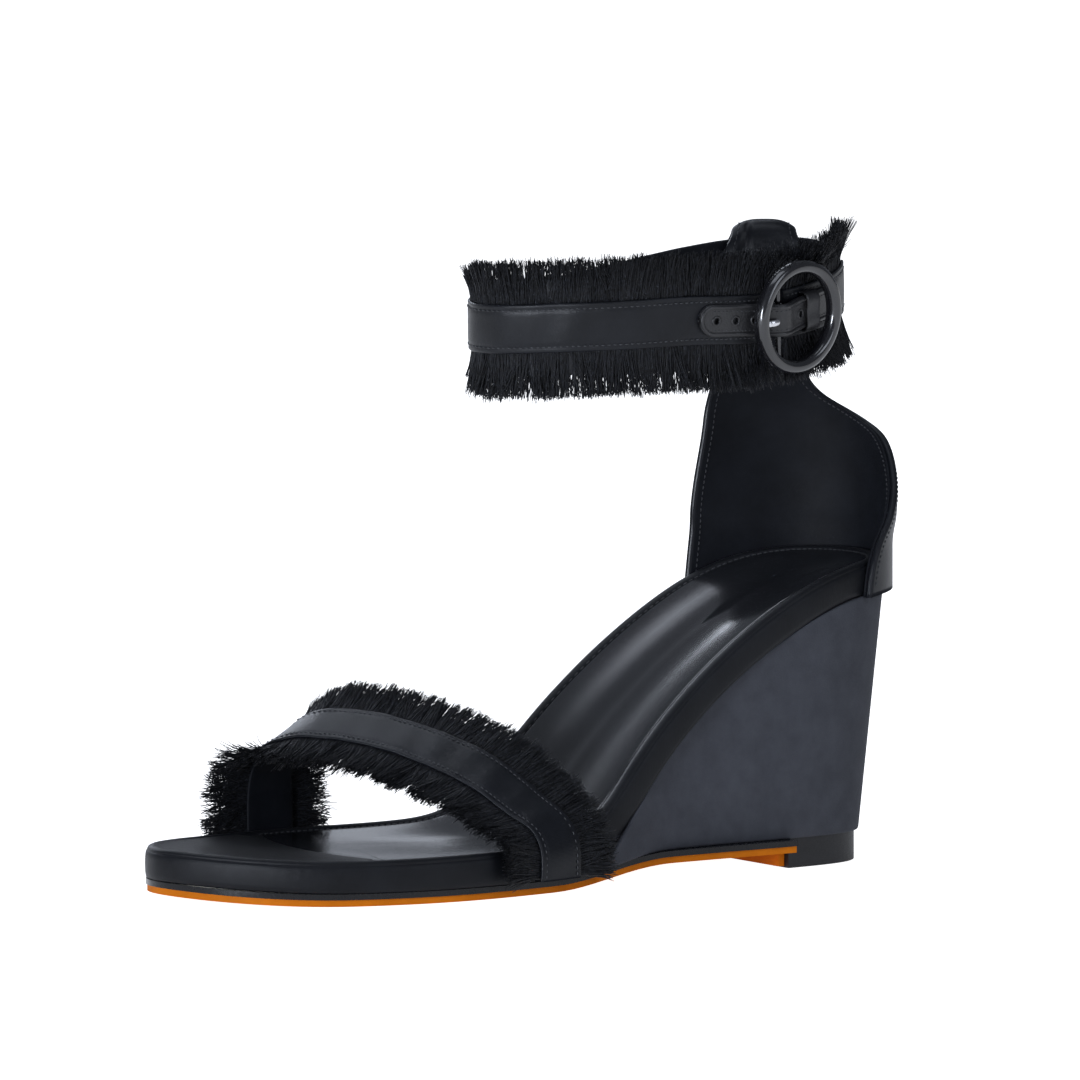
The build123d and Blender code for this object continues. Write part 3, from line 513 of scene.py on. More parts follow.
def front_arc_y(x):
    """The sock's front edge: y at x on the circle through its three points."""
    (x1, y1), (x2, y2), (x3, y3) = SOCK_ARC
    d = 2 * (x1 * (y2 - y3) + x2 * (y3 - y1) + x3 * (y1 - y2))
    q1, q2, q3 = x1 ** 2 + y1 ** 2, x2 ** 2 + y2 ** 2, x3 ** 2 + y3 ** 2
    cx = (q1 * (y2 - y3) + q2 * (y3 - y1) + q3 * (y1 - y2)) / d
    cy = (q1 * (x3 - x2) + q2 * (x1 - x3) + q3 * (x2 - x1)) / d
    radius = np.hypot(x1 - cx, y1 - cy)
    return cy - np.sqrt(np.maximum(radius ** 2 - (x - cx) ** 2, 0))


RING_STATIONS = 900
station = np.arange(RING_STATIONS)
share = station / RING_STATIONS
rim_xy = outline(share)
rim_in = inward(share)
inner_xy = rim_xy + rim_in * RIM_WIDTH
toe_side = inner_xy[:, 1] < front_arc_y(inner_xy[:, 0])
toe_first = np.argmax(toe_side)
toe_last = RING_STATIONS - 1 - np.argmax(toe_side[::-1])

# The point of the sock's front edge that faces each toe station
toe_share = (station - toe_first) / (toe_last - toe_first)
front_x = inner_xy[toe_first, 0] + (inner_xy[toe_last, 0] - inner_xy[toe_first, 0]) * toe_share
sock_front = np.stack([front_x, front_arc_y(front_x)], axis=-1)
TOE_COVER_RUN_IN = 9.0      # the rim widens into the toe cover over this length
DISH_RUN_IN = 75.0          # the dish starts flat behind the toe cover and is full depth this far back
DISH_DEPTH = 2.1
PAD_THICKNESS = 0.6
SOCK_INSET = 4.35
SEAM_INSET = 4.05
SEAM_DROP = 0.55


def padded_rim():
    """The satin rim: flat side, creased shoulder, soft crown, and the toe cover ahead of the sock."""
    # Up the side and over the shoulder: (depth in from the outline, share of the height, lift)
    side = [(1.8, 0.0, 0.0), (0.6, 0.0, 0.0), (0.15, 0.05, 0.0), (0.0, 0.2, 0.0), (-0.05, 0.45, 0.0),
            (0.02, 0.66, 0.0), (0.14, 0.8, 0.0), (0.34, 0.855, 0.0), (0.62, 0.875, 0.0), (0.56, 0.9, 0.0),
            (0.62, 0.94, 0.0), (0.95, 0.985, 0.0), (1.5, 1.0, 0.14), (2.2, 1.0, 0.26), (2.9, 1.0, 0.2)]
    # Down beside the sock: (depth, lift, share of the way to the sock's front where this is the toe cover)
    groove = [(3.5, -0.02, 0.03), (3.95, -0.35, 0.08), (4.2, -0.9, 0.2), (4.3, -1.5, 0.42), (4.6, -1.8, 0.68),
              (5.2, -1.8, 0.93), (6.2, -1.8, 1.0)]
    run = RING_STATIONS * TOE_COVER_RUN_IN / outline.length
    weight = toe_side * ease(np.minimum(station - toe_first, toe_last - station) / run)
    columns = []
    for depth, mix, lift in side:
        xy = rim_xy + rim_in * depth
        low = rim_bottom_z(xy[:, 1])
        top = footbed_z(xy[:, 1])
        ripple = 0.05 * np.sin(share * 160 + depth * 3) * np.sin(share * 47)
        columns.append(np.column_stack([xy + rim_in * ripple[:, None], low + (top - low) * mix + lift]))
    targets = np.where(toe_side[:, None], sock_front, inner_xy)
    start = rim_xy + rim_in * side[-1][0]
    for depth, lift, reach in groove:
        plain = rim_xy + rim_in * depth
        toe = start + (targets - start) * reach
        toe_lift = -0.05 - 0.25 * sin(pi * reach)
        if reach == 1.0:
            toe = targets + np.array([0.0, 3.0])
            toe_lift = -1.6
        elif reach > 0.9:
            toe = targets + np.array([0.0, 0.2])
            toe_lift = -0.1
        xy = plain + (toe - plain) * weight[:, None]
        z = footbed_z(xy[:, 1]) + lift + (toe_lift - lift) * weight
        columns.append(np.column_stack([xy, z]))
    piece = add_grid("padded_rim", np.stack(columns, axis=1), rim_satin, "root",
                     wrap_rows=True,
                     lay=((share * outline.length)[:, None], np.linspace(0, 14, len(columns))))
    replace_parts(piece, "platform_wrap")


def dished_pad(name, edge_lifts, inset, material):
    """A closed pad lying in the footbed: a shallow dish with rolled edges, its front on the toe cover."""
    edge = np.where(toe_side[:, None], sock_front + np.array([0.0, 0.4 + inset]),
                    rim_xy + rim_in * (SOCK_INSET + inset))
    middle_y = np.clip(edge[:, 1], -166.0, -26.0)
    axis_x = np.interp(middle_y, [-170, -140, -100, -20], [-2.0, 0.4, 0.3, 0.0])
    middle = np.stack([axis_x, middle_y], axis=-1)

    def layer(r, lift):
        """A ring at a share of the way from the middle to the edge."""
        xy = middle + (edge - middle) * r
        fade = ease((xy[:, 1] - front_arc_y(xy[:, 0])) / DISH_RUN_IN)
        dish = DISH_DEPTH * ease((0.92 - r) / 0.75) * fade
        return np.column_stack([xy, footbed_z(xy[:, 1]) + lift - dish])

    rings = [1.0, 0.992, 0.975, 0.95, 0.9, 0.8, 0.68, 0.55, 0.42, 0.28, 0.14, 0.0, 0.0]
    columns = [layer(r, edge_lifts[min(k, len(edge_lifts) - 1)]) for k, r in enumerate(rings)]
    columns += [layer(r, edge_lifts[-1] - PAD_THICKNESS) for r in (0.0, 0.5, 0.9, 1.0)]
    return add_grid(name, np.stack(columns, axis=1), material, "root", wrap_rows=True, wrap_cols=True)


def sock():
    """The glossy leather sock over its soft cushion."""
    top = dished_pad("sock", [-0.95, -0.62, -0.48, -0.46, -0.5, -0.55], 0.0, sock_leather)
    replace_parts(top, "sock_lining")
    soft = dished_pad("cushion", [-1.4, -1.25, -1.2], 0.8, cushion_foam)
    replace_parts(soft, "footbed_cushion")


def rim_stitches():
    """A sewn line in the groove between rim and sock."""
    def groove(at):
        xy = outline(at) + inward(at) * SEAM_INSET
        return np.column_stack([xy, footbed_z(xy[:, 1]) - SEAM_DROP])

    at = np.linspace(0, 1, 290, endpoint=False)
    spot = groove(at)
    keep = spot[:, 1] > front_arc_y(spot[:, 0])
    at, spot = at[keep], spot[keep]
    out = unit(np.column_stack([inward(at), np.full(len(at), 0.9)]))
    stitch_row("rim_stitches", spot, unit(groove(at + 0.002) - spot), out, "root", 1.4, 0.16)


padded_rim()
sock()
rim_stitches()

# ---------------------------------------------------------------- wedge

WEDGE_STATIONS = 640


def wedge():
    """The nubuck wedge cover: leaning walls with softly turned top and bottom edges."""
    at = np.arange(WEDGE_STATIONS) / WEDGE_STATIONS
    top, foot = (Smooth(plan_ring(stations), closed=True)(at) for stations in (WEDGE_TOP, WEDGE_FOOT))

    def wall(z):
        return foot + (top - foot) * (z / WEDGE_TOP_Z)[:, None]

    low = np.full(WEDGE_STATIONS, 8.0)
    high = np.full(WEDGE_STATIONS, 70.0)
    for _ in range(12):
        low = sole_z(wall(low)[:, 1], SOLE_STACK + GLUE)
        high = np.maximum(0.5 * high + 0.5 * (rim_line_z(wall(high)[:, 1]) - 0.1), low + 0.02)
    tall = high - low
    # The turned edges: (depth inside the wall, distance from the edge)
    turned = [(0.9, 0.0), (0.35, 0.0), (0.1, 0.18), (0.0, 0.6)]
    columns = [(low + np.minimum(rise, tall / 2), depth) for depth, rise in turned]
    columns += [(low + 0.6 + (tall - 1.2) * k, 0.0) for k in np.linspace(0, 1, 20)[1:-1]]
    columns += [(high - np.minimum(rise, tall / 2), depth) for depth, rise in turned[::-1]]
    grid = []
    for z, depth in columns:
        z = np.clip(z, low, high)
        xy = wall(z)
        ahead = np.roll(xy, -1, axis=0) - np.roll(xy, 1, axis=0)
        normal = unit(np.stack([ahead[:, 1], -ahead[:, 0]], axis=-1))
        grid.append(np.column_stack([xy + normal * depth, z]))
    points = np.stack(grid, axis=1)
    keep = points[:, 6, 1] > WEDGE_FRONT_Y + 0.5
    first = np.argmax(~keep)
    last = WEDGE_STATIONS - 1 - np.argmax(~keep[::-1])
    points = np.concatenate([points[last + 1:], points[:first]])
    piece = add_grid("wedge_skin", points, nubuck, "root")
    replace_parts(piece, "wedge_cover")


wedge()

# ---------------------------------------------------------------- counter, neck and tab

TAB_ORIGIN = np.array([-22.4, -20.8])
TAB_HEADING = np.array([-0.540, -0.842])
TAB_HALF = 10.3
TAB_OUT = np.array([-0.842, 0.540])
# Free edge of the counter from the outer side round the back to the inner neck: distance along the rim's
# outline from the middle of the back (+ outer side), and height
REAR_EDGE = [(31.5, 60), (29.5, 70), (24, 80), (17, 90.5), (11, 99.5), (4.5, 106.3), (-3, 110.3),
             (-10, 114.2), (-17, 119.8), (-20.5, 126), (-21.5, 133), (-21.5, 150)]
# Its front edge on the inner side, as (y, z)
FRONT_EDGE = [(-41.5, 60), (-38, 92), (-34.8, 118), (-34.5, 133), (-33.0, 150)]
COUNTER_INSIDE, LINING_OUTSIDE, COUNTER_LINED, COUNTER_OUTSIDE = 0.1, 0.92, 0.95, 2.8
EDGE_SEAM_INSET, EDGE_SEAM_LOWEST_Z = 1.9, 74.0
HEEL_MIDDLE = np.array([0.0, -30.0])
TAB_SKIN = 1.1


def outline_share(y, side):
    """Share of the outline at a y, on the outer (+1) or the inner (-1) side of the heel."""
    probe = np.linspace(0, 0.3, 900) * side
    ys = outline(probe)[:, 1]
    return np.interp(-np.asarray(y), -ys, probe)


def counter_grid(offset, rows=80, cols=120):
    """Points of the heel counter and its neck, at a distance out from the rim's outline."""
    levels = np.linspace(0, 1, rows)
    rear = Smooth(REAR_EDGE)(levels)
    left_s, left_z = rear[:, 0] / outline.length, rear[:, 1]
    front = Smooth(FRONT_EDGE)(levels ** 0.9)
    right_s, right_z = outline_share(front[:, 0], -1), front[:, 1]
    u = np.linspace(0, 1, cols)
    s = left_s[:, None] + (right_s - left_s)[:, None] * u[None, :]
    spread = left_z[:, None] + (right_z - left_z)[:, None] * ease(u)[None, :]
    xy = outline(s)
    base = rim_bottom_z(xy[0][:, 1]) - 0.3
    top_z = spread[-1]
    z = base[None, :] + (spread - spread[0][None, :]) * (top_z - base)[None, :] / (top_z - spread[0])[None, :]
    bulge = 1.3 * np.exp(-((z - 98) / 13) ** 2) * ease((z - 84) / 8)
    wall = xy - inward(s) * (offset + bulge)[..., None]
    h = (u * 2 - 1) * TAB_HALF
    flat = TAB_ORIGIN[None, :] + TAB_HEADING[None, :] * h[:, None] + TAB_OUT[None, :] * (offset - 1.4)
    to_tab = ease((z - 116) / 24)[..., None]
    xy = wall + (flat[None] - wall) * to_tab
    return np.dstack([xy, z])


def skin(name, outer, inner, lip, lay_width, material, body, flip=False):
    """A thick skin between two faces kept as grids, its side edges rounded over."""
    middle = (inner + outer) / 2
    right = middle[:, -1] + unit(middle[:, -1] - middle[:, -2]) * lip
    left = middle[:, 0] + unit(middle[:, 0] - middle[:, 1]) * lip
    ring = np.concatenate([outer, right[:, None], inner[:, ::-1], left[:, None]], axis=1)
    return add_grid(name, ring, material, body, wrap_cols=True, flip=flip, caps=True,
                    lay=(np.linspace(0, lay_width, ring.shape[1]), ring[..., 2]))


def shell(name, inner_offset, outer_offset, material):
    """One layer of the counter between two distances out from the rim's outline; its top turns into the neck.
    """
    lip = (outer_offset - inner_offset) * 0.35
    piece = skin(name, counter_grid(outer_offset), counter_grid(inner_offset), lip, 120, material, None,
                 flip=True)
    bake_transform(piece)
    return piece


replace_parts(shell("counter_skin", COUNTER_LINED, COUNTER_OUTSIDE, ribbon_satin),
            "counter_outer", "counter_stiffener")
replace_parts(shell("counter_inside", COUNTER_INSIDE, LINING_OUTSIDE, lining_satin),
            "counter_lining")


def counter_stitches():
    """Sewn lines two millimetres inside the counter's free edges."""
    for name, offset, sign in (("counter_stitches", 2.85, 1.0), ("counter_lining_stitches", 0.06, -1.0)):
        face = counter_grid(offset)
        rows = []
        for edge, step in ((0, 1), (-1, -1)):
            line = face[:, edge] + unit(face[:, edge + step * 6] - face[:, edge]) * EDGE_SEAM_INSET
            spot, ahead = seam(line[line[:, 2] > EDGE_SEAM_LOWEST_Z], 1.0, 8)
            away = np.column_stack([spot[:, :2] - HEEL_MIDDLE, np.zeros(len(spot))])
            rows.append((spot, ahead, unit(away) * sign))
        piece = stitch_row(name, *map(np.vstack, zip(*rows)), None)
        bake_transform(piece)


counter_stitches()


def tab():
    """The neck's end folded over the ankle strap: a soft loop with a vertical crease."""
    loop = Smooth([(2.0, 137), (2.8, 142), (4.6, 148), (5.2, 156), (4.7, 163.5), (2.7, 168.3), (0, 169.6),
                   (-2.7, 168.3), (-4.7, 163.5), (-5.2, 156), (-4.6, 148), (-2.8, 142), (-1.6, 139)])
    w = loop(np.linspace(0, 1, 90))
    out, height = w[:, 0:1], w[:, 1:2]
    u = np.linspace(-1, 1, 44)
    h = TAB_HALF * u * (1 - 0.2 * ease((height - 160) / 10))
    crease = -0.85 * np.exp(-((u - 0.52) / 0.1) ** 2) * ease((height - 146) / 8)
    puff = 0.5 * (1 - u ** 2) * ease((height - 150) / 12)
    droop = -2.2 * np.abs(u) ** 3 * ease((height - 160) / 9)
    side = np.sign(out) * np.minimum(np.abs(out) / 2.0, 1)

    def face(offset):
        away = out + side * (crease + puff + offset)
        xy = TAB_ORIGIN + TAB_HEADING * h[..., None] + TAB_OUT * away[..., None]
        return np.dstack([xy, height + droop + offset * (1 - np.abs(side))])

    outer = face(0.0)
    piece = skin("tab_loop", outer, face(-TAB_SKIN), 0.45, 48, ribbon_satin, "neck_tab")
    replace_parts(piece, "heel_tab")
    heading = np.array([*TAB_HEADING, 0.0])
    rows = []
    for column in (4, -5):
        spot, ahead = seam(outer[:, column], 3.0, 2)
        away = spot - np.array([*TAB_ORIGIN, 156.0])
        rows.append((spot, ahead, unit(away - heading * (away @ heading)[:, None])))
    stitch_row("tab_stitches", *map(np.vstack, zip(*rows)), "neck_tab")


tab()

# ---------------------------------------------------------------- straps

THREAD_KNOTS, THREAD_SIDES, THREAD_LAYERS = 5, 3, 5
THREAD_SPACING, THREAD_RADIUS = 0.2, 0.15
THREAD_ROOT = 0.9       # threads start this far inside the strap's edge
GROUND_GAP = 0.6
SEW_INSET = 1.6


def fringe(name, read, start, end, half_width, base, body, replaced, seed, mess, trim=np.ones_like):
    """Thousands of loose threads on both edges of a strap, in clumps, over a short woven web."""
    source = np.random.default_rng(seed)
    points = []
    t = np.linspace(0, 1, THREAD_KNOTS)
    for side in (-1.0, 1.0):
        for layer in range(THREAD_LAYERS):
            depth = (layer + 0.5) / THREAD_LAYERS
            count = int((end - start) / THREAD_SPACING)
            s = np.clip(np.linspace(start, end, count) + source.normal(0, 0.1, count), start, end)
            clump_width = 1.3 + 0.35 * layer
            wander = 0.5 * np.sin(s * 0.9 + seed) + 0.35 * np.sin(s * 2.3 + layer)
            clump = np.floor((s + wander) / clump_width).astype(int)
            clump -= clump.min()
            kinds = clump.max() + 1
            clump_middle = np.array([s[clump == k].mean() if (clump == k).any() else 0.0
                                     for k in range(kinds)])
            wild = mess(s)
            lean = (source.normal(0, 0.11, kinds)[clump] + source.normal(0, 0.05, count)) * wild
            flare = (source.normal(0.03, 0.06, kinds)[clump] + source.normal(0.0, 0.03, count)) * wild
            flare = flare + 0.1 * depth
            size = FRINGE_LENGTH * (1 + source.normal(0, 0.035, kinds)[clump] + source.normal(0, 0.03, count))
            size = size * (1 - 0.1 * (source.random(count) < 0.12)) * trim(s) + THREAD_ROOT
            path, along, across, out = read(s)
            gather = (clump_middle[clump] - s) * 0.6
            curl = source.normal(0, 0.05, count) * wild
            phase = source.random(count) * TAU
            root = half_width - THREAD_ROOT
            start_out = base[0] + (base[1] - base[0]) * depth
            reach = size[:, None] * t[None, :]
            drift = (gather[:, None] * t ** 1.4 + size[:, None] * (lean[:, None] * t + curl[:, None] * t ** 2)
                     + 0.12 * np.sin(phase[:, None] + t[None, :] * 6.0))
            lift = (start_out + size[:, None] * (flare[:, None] * t ** 1.5)
                    + 0.1 * np.cos(phase[:, None] + t * 5.0))
            shorten = np.sqrt(np.maximum(1 - (lean[:, None] ** 2 + flare[:, None] ** 2) * t, 0.3))
            centre = (path[:, None] + side * across[:, None] * (root + reach * shorten)[..., None]
                      + along[:, None] * drift[..., None] + out[:, None] * lift[..., None])
            centre[..., 2] = np.maximum(centre[..., 2] - (0.35 * t ** 2)[None, :], GROUND_GAP)
            radius = THREAD_RADIUS * (1 - 0.4 * t ** 2)
            turn = source.random(count)[:, None] * TAU + turns(THREAD_SIDES)
            ring = (centre[:, :, None, :]
                    + along[:, None, None, :] * (radius[None, :, None] * np.cos(turn)[:, None, :])[..., None]
                    + out[:, None, None, :] * (radius[None, :, None] * np.sin(turn)[:, None, :])[..., None])
            points.append(ring.reshape(-1, 3))
    points = np.vstack(points)
    block = grid_faces(THREAD_KNOTS, THREAD_SIDES, wrap_cols=True)
    each = THREAD_KNOTS * THREAD_SIDES
    faces = (block[None] + (np.arange(len(points) // each) * each)[:, None, None]).reshape(-1, 4)
    piece = add_mesh(name, points, faces, fringe_thread, body)
    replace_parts(piece, replaced)
    s = np.linspace(start, end, int((end - start) / 0.5))
    path, along, across, out = read(s)
    ragged = 7.0 + 0.5 * np.sin(s * 2.1) + 0.4 * np.sin(s * 5.3 + 1)
    profile = strap_profile(2 * half_width, base[0] + 0.25, base[1] - 0.25, columns=14)
    profile = each_row(profile, len(s))
    profile[..., 0] *= (1 + ragged / half_width)[:, None]
    sweep(name + "_web", path, across, out, profile, fringe_thread, body)


def ribbon(name, read, start, end, width, low, high, body, replaced, ripple=0.12, seed=1, closed=False,
           sewn=True):
    """A satin ribbon with soft ripples, puckers along its sewn lines, and the stitches; or a plain lining."""
    material, slot = (ribbon_satin, "satin") if sewn else (lining_satin, "lining_satin")
    source = np.random.default_rng(seed)
    rows = max(int((end - start) / 0.55), 40)
    s = np.linspace(start, end, rows, endpoint=not closed)
    path, along, across, out = read(s)
    profile = each_row(strap_profile(width, low, high), rows)
    a = profile[..., 0]
    phase = source.random(6) * TAU
    waves = sum(np.sin(s[:, None] * f + a * g + p) for f, g, p in
                zip((0.11, 0.23, 0.41, 0.67), (0.15, -0.2, 0.3, 0.1), phase))
    pucker = 0.5 - 0.5 * np.cos(s[:, None] * TAU / STITCH_PITCH)
    dent = np.exp(-((np.abs(a) - (width / 2 - SEW_INSET)) / 0.55) ** 2)
    crown = 0.16 * (1 - (2 * a / width) ** 2)
    upper = profile[..., 1] > (low + high) / 2
    rise = crown + ripple * waves * 0.45 - dent * (0.1 + 0.1 * pucker)
    profile[..., 1] += np.where(upper, rise, 0.0) * sewn
    piece = sweep(name, path, across, out, profile, material, body, closed)
    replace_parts(piece, replaced)
    if sewn:
        path, along, across, out = read(np.arange(start + 1.2, end - 1.0, STITCH_PITCH))
        centres = [path + across * (side * (width / 2 - SEW_INSET)) + out * (high - 0.02) for side in (-1, 1)]
        stitch_row(name + "_stitches", np.vstack(centres), np.vstack([along] * 2), np.vstack([out] * 2), body)


# Toe strap stations from the outer to the inner side: inside face, and direction across towards the toe
TOE_STATIONS = [((39.2, -128, 4.0), (0.18, -1, 0)), ((39.4, -128, 9.0), (0.18, -1, 0)),
                ((38.2, -128.3, 14.5), (0.2, -0.97, -0.12)), ((30.5, -131.5, 21.0), (0.34, -0.88, -0.33)),
                ((20, -136, 28.0), (0.38, -0.81, -0.45)), ((6, -142.5, 34.0), (0.38, -0.8, -0.47)),
                ((-9, -150, 38.0), (0.38, -0.8, -0.45)), ((-24, -157, 39.3), (0.38, -0.8, -0.45)),
                ((-35, -162, 37.0), (0.33, -0.85, -0.4)), ((-41.2, -164.5, 30.0), (0.12, -0.97, -0.2)),
                ((-42.8, -165, 19.0), (0, -1, 0)), ((-42.6, -165, 4.0), (0, -1, 0))]
toe_curve = Smooth([centre for centre, _ in TOE_STATIONS])
toe_marks = toe_curve.lengths[[np.argmin(np.linalg.norm(toe_curve.points - np.array(centre), axis=1))
                               for centre, _ in TOE_STATIONS]]
toe_across = unit(np.array([a for _, a in TOE_STATIONS], float))


def read_toe(s):
    """Path, along, across and out on the toe strap, this many millimetres from its outer end."""
    path = toe_curve(s / toe_curve.length)
    along = toe_curve.heading(s / toe_curve.length)
    across = read_line(s, toe_marks, toe_across)
    across = unit(across - along * np.sum(across * along, axis=-1, keepdims=True))
    return path, along, across, np.cross(along, across)


ribbon("toe_ribbon", read_toe, 0.3, toe_curve.length - 0.3, TOE_RIBBON_WIDTH, RIBBON_BASE, RIBBON_TOP, "root",
       "vamp_ribbon", seed=3)
ribbon("toe_lining", read_toe, 0.0, toe_curve.length, TOE_RIBBON_WIDTH, 0.0, LAYER, "root", "vamp_lining",
       sewn=False)


def toe_mess(s):
    """The threads of the inner leg stand wilder than the rest."""
    return 1 + 1.3 * ease((s - toe_curve.length * 0.7) / 25)


fringe("toe_fringe", read_toe, 1.0, toe_curve.length - 1.0, TOE_RIBBON_WIDTH / 2, (LAYER, RIBBON_BASE),
       "root", "vamp_fringe", 11, toe_mess)

# Ankle strap: a closed loop in a tilted plane
LOOP = [(0, -15), (13, -22.5), (24, -39.5), (28.5, -70), (22, -103), (-4, -121.8), (-24.2, -102.5),
        (-29.5, -70), (-28.8, -38), (-23, -18.5), (-12.5, -11.5)]
BAND_CENTRE = np.array([0.0, -69.0, 151.0])
BAND_UP = unit(np.array([0.11, -0.09, 1.0]))
BAND_X = unit(np.array([1.0, 0.0, -0.11]))
BAND_Y = np.cross(BAND_UP, BAND_X)
loop_flat = Smooth([(x - BAND_CENTRE[0], y - BAND_CENTRE[1]) for x, y in LOOP], closed=True, samples=3000)
LOOP_LENGTH = loop_flat.length
BUCKLE_SHARE = 0.162
BUCKLE_S = BUCKLE_SHARE * LOOP_LENGTH
GAP_BACK, GAP_FRONT = 1.4, 5.25
PLAIN_X, PLAIN_FRONT_Y = 9.0, -114.0
# The strap's own wave out of its plane: (millimetres round from the buckle, rise)
BAND_RISE = [(0, 0), (12, 0.7), (30, 2.9), (48, 3.8), (64, 3.6), (84, 1.6), (100, -0.6), (120, -2.3),
             (145, -2.8), (175, -1.0), (200, 0), (250, 0)]
rise_curve = Smooth(BAND_RISE).points


def band_rise(s):
    """Rise of the strap out of its plane, this many millimetres round from its back."""
    return np.interp((np.asarray(s, float) - BUCKLE_S) % LOOP_LENGTH, rise_curve[:, 0], rise_curve[:, 1])


def read_band(s):
    """Path, along, across (up) and out on the ankle strap, this many millimetres round from its back."""
    part = np.asarray(s, float) / LOOP_LENGTH
    flat = loop_flat(part)
    head = loop_flat.heading(part)
    path = BAND_CENTRE + BAND_X * flat[..., 0:1] + BAND_Y * flat[..., 1:2] + BAND_UP * band_rise(s)[..., None]
    along = BAND_X * head[..., 0:1] + BAND_Y * head[..., 1:2]
    out = -np.cross(along, BAND_UP)
    return path, along, np.broadcast_to(BAND_UP, path.shape), out


probe = np.linspace(0, LOOP_LENGTH, 3000)
probe_points = read_band(probe)[0]
past_front = (probe > BUCKLE_S) & (probe_points[:, 0] < 0) & (probe_points[:, 1] > PLAIN_FRONT_Y)
PLAIN_START = probe[np.argmax(past_front)]
PLAIN_END = LOOP_LENGTH + probe[np.argmax(probe_points[:, 0] > PLAIN_X)]
BACK_START = PLAIN_END - LOOP_LENGTH

ribbon("ankle_inside", read_band, 0.0, LOOP_LENGTH, RIBBON_WIDTH - 0.4, 0.0, LAYER - GLUE, "ankle_strap",
       "ankle_lining", closed=True, sewn=False)
ribbon("plain_band", read_band, PLAIN_START + 0.2, PLAIN_END - 0.2, RIBBON_WIDTH - 0.4, LAYER, 2 * LAYER,
       "ankle_strap", "band_facing", seed=6, ripple=0.08)
ribbon("ankle_satin", read_band, BUCKLE_S + GAP_FRONT + 0.2, PLAIN_START - 0.2, RIBBON_WIDTH, RIBBON_BASE,
       RIBBON_TOP, "ankle_strap", "ankle_ribbon", seed=8, ripple=0.16)
ribbon("back_satin", read_band, BACK_START + 0.2, BUCKLE_S + GAP_BACK - 0.2, RIBBON_WIDTH, RIBBON_BASE,
       RIBBON_TOP, "ankle_strap", "back_ribbon", seed=9)


def front_mess(s):
    """Threads beside the buckle are tangled."""
    return 1 + 1.8 * ease(1 - (s - BUCKLE_S - GAP_FRONT) / 14)


def back_mess(s):
    """Threads behind the buckle stand out in tufts."""
    return 1.5 + 1.8 * ease(1 - np.abs(s - BUCKLE_S + 10) / 14)


def front_trim(s):
    """Threads shorten where the fringe ends at the front of the ankle."""
    return 1 - 0.35 * ease((s - PLAIN_START + 18) / 16)


fringe("ankle_threads", read_band, BUCKLE_S + GAP_FRONT + 0.3, PLAIN_START - 0.3, RIBBON_WIDTH / 2,
       (LAYER, RIBBON_BASE), "ankle_strap", "ankle_fringe", 21, front_mess, front_trim)
fringe("back_threads", read_band, BACK_START + 0.3, BUCKLE_S + GAP_BACK - 0.3, RIBBON_WIDTH / 2,
       (LAYER, RIBBON_BASE), "ankle_strap", "back_fringe", 22, back_mess)

# ---------------------------------------------------------------- buckle

RING_RADIUS = 13.6
RING_RADIAL = 1.8
RING_AXIAL = 2.1
RING_STANDOFF = 7.2
BAR_INSET = 1.5
BAR_FORWARD = 6.1
BAR_HEIGHT = RING_STANDOFF - BAR_INSET
BAR_RADIUS = 0.75
KNUCKLE_RADIUS = 1.65
TAIL_WIDTH = 9.0
TAIL_THICKNESS, TAIL_FACE = 1.2, 0.6
TAIL_BACK, TAIL_FRONT = -20.0, 29.5
ON_RIBBON = RIBBON_TOP + 0.1 + TAIL_THICKNESS / 2
HOLES = [-2.4, 12.4, 18.4, 24.4]
HOLE_RADIUS = 0.85
KEEPER_FORWARD = -7.0

buckle_at, buckle_forward, buckle_up, buckle_out = (v[0] for v in read_band(np.array([BUCKLE_S])))


def at_buckle(forward, out, up=0.0):
    """A point given in the buckle's own directions."""
    forward, out, up = np.broadcast_arrays(*[np.asarray(v, float) for v in (forward, out, up)])
    return (buckle_at + buckle_forward * forward[..., None] + buckle_out * out[..., None]
            + buckle_up * up[..., None])


def strap_drop(travel):
    """How far the lining face lies from the buckle's tangent, this far forward of the buckle."""
    path = read_band(BUCKLE_S + np.linspace(-45, 45, 400))[0] - buckle_at
    return np.interp(travel, path @ buckle_forward, path @ buckle_out)


def facing(heads, level=buckle_forward):
    """Outward directions beside a line that runs in a level direction and the buckle's out direction."""
    return buckle_out * heads[..., 0:1] - level * heads[..., 1:2]


def ring_and_bar():
    """The oval-wire ring and its cross bar."""
    radial = spokes(buckle_forward, buckle_up, 160)
    round_wire = spokes(np.array([1.0, 0.0]), np.array([0.0, 1.0]), 32)
    wire = np.sign(round_wire) * np.abs(round_wire) ** 0.86 * [RING_RADIAL, RING_AXIAL]
    path = at_buckle(0.0, RING_STANDOFF) + radial * RING_RADIUS
    ring = sweep("ring", path, radial, buckle_out, wire, enamel, "ring", closed=True)
    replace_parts(ring, "buckle_ring")
    half = (RING_RADIUS ** 2 - BAR_FORWARD ** 2) ** 0.5
    bar = at_buckle(BAR_FORWARD, BAR_HEIGHT, np.linspace(-half, half, 12))
    sweep("ring_bar", bar, buckle_forward, buckle_out, tube_profile(BAR_RADIUS, BAR_RADIUS, 20), enamel,
          "ring")


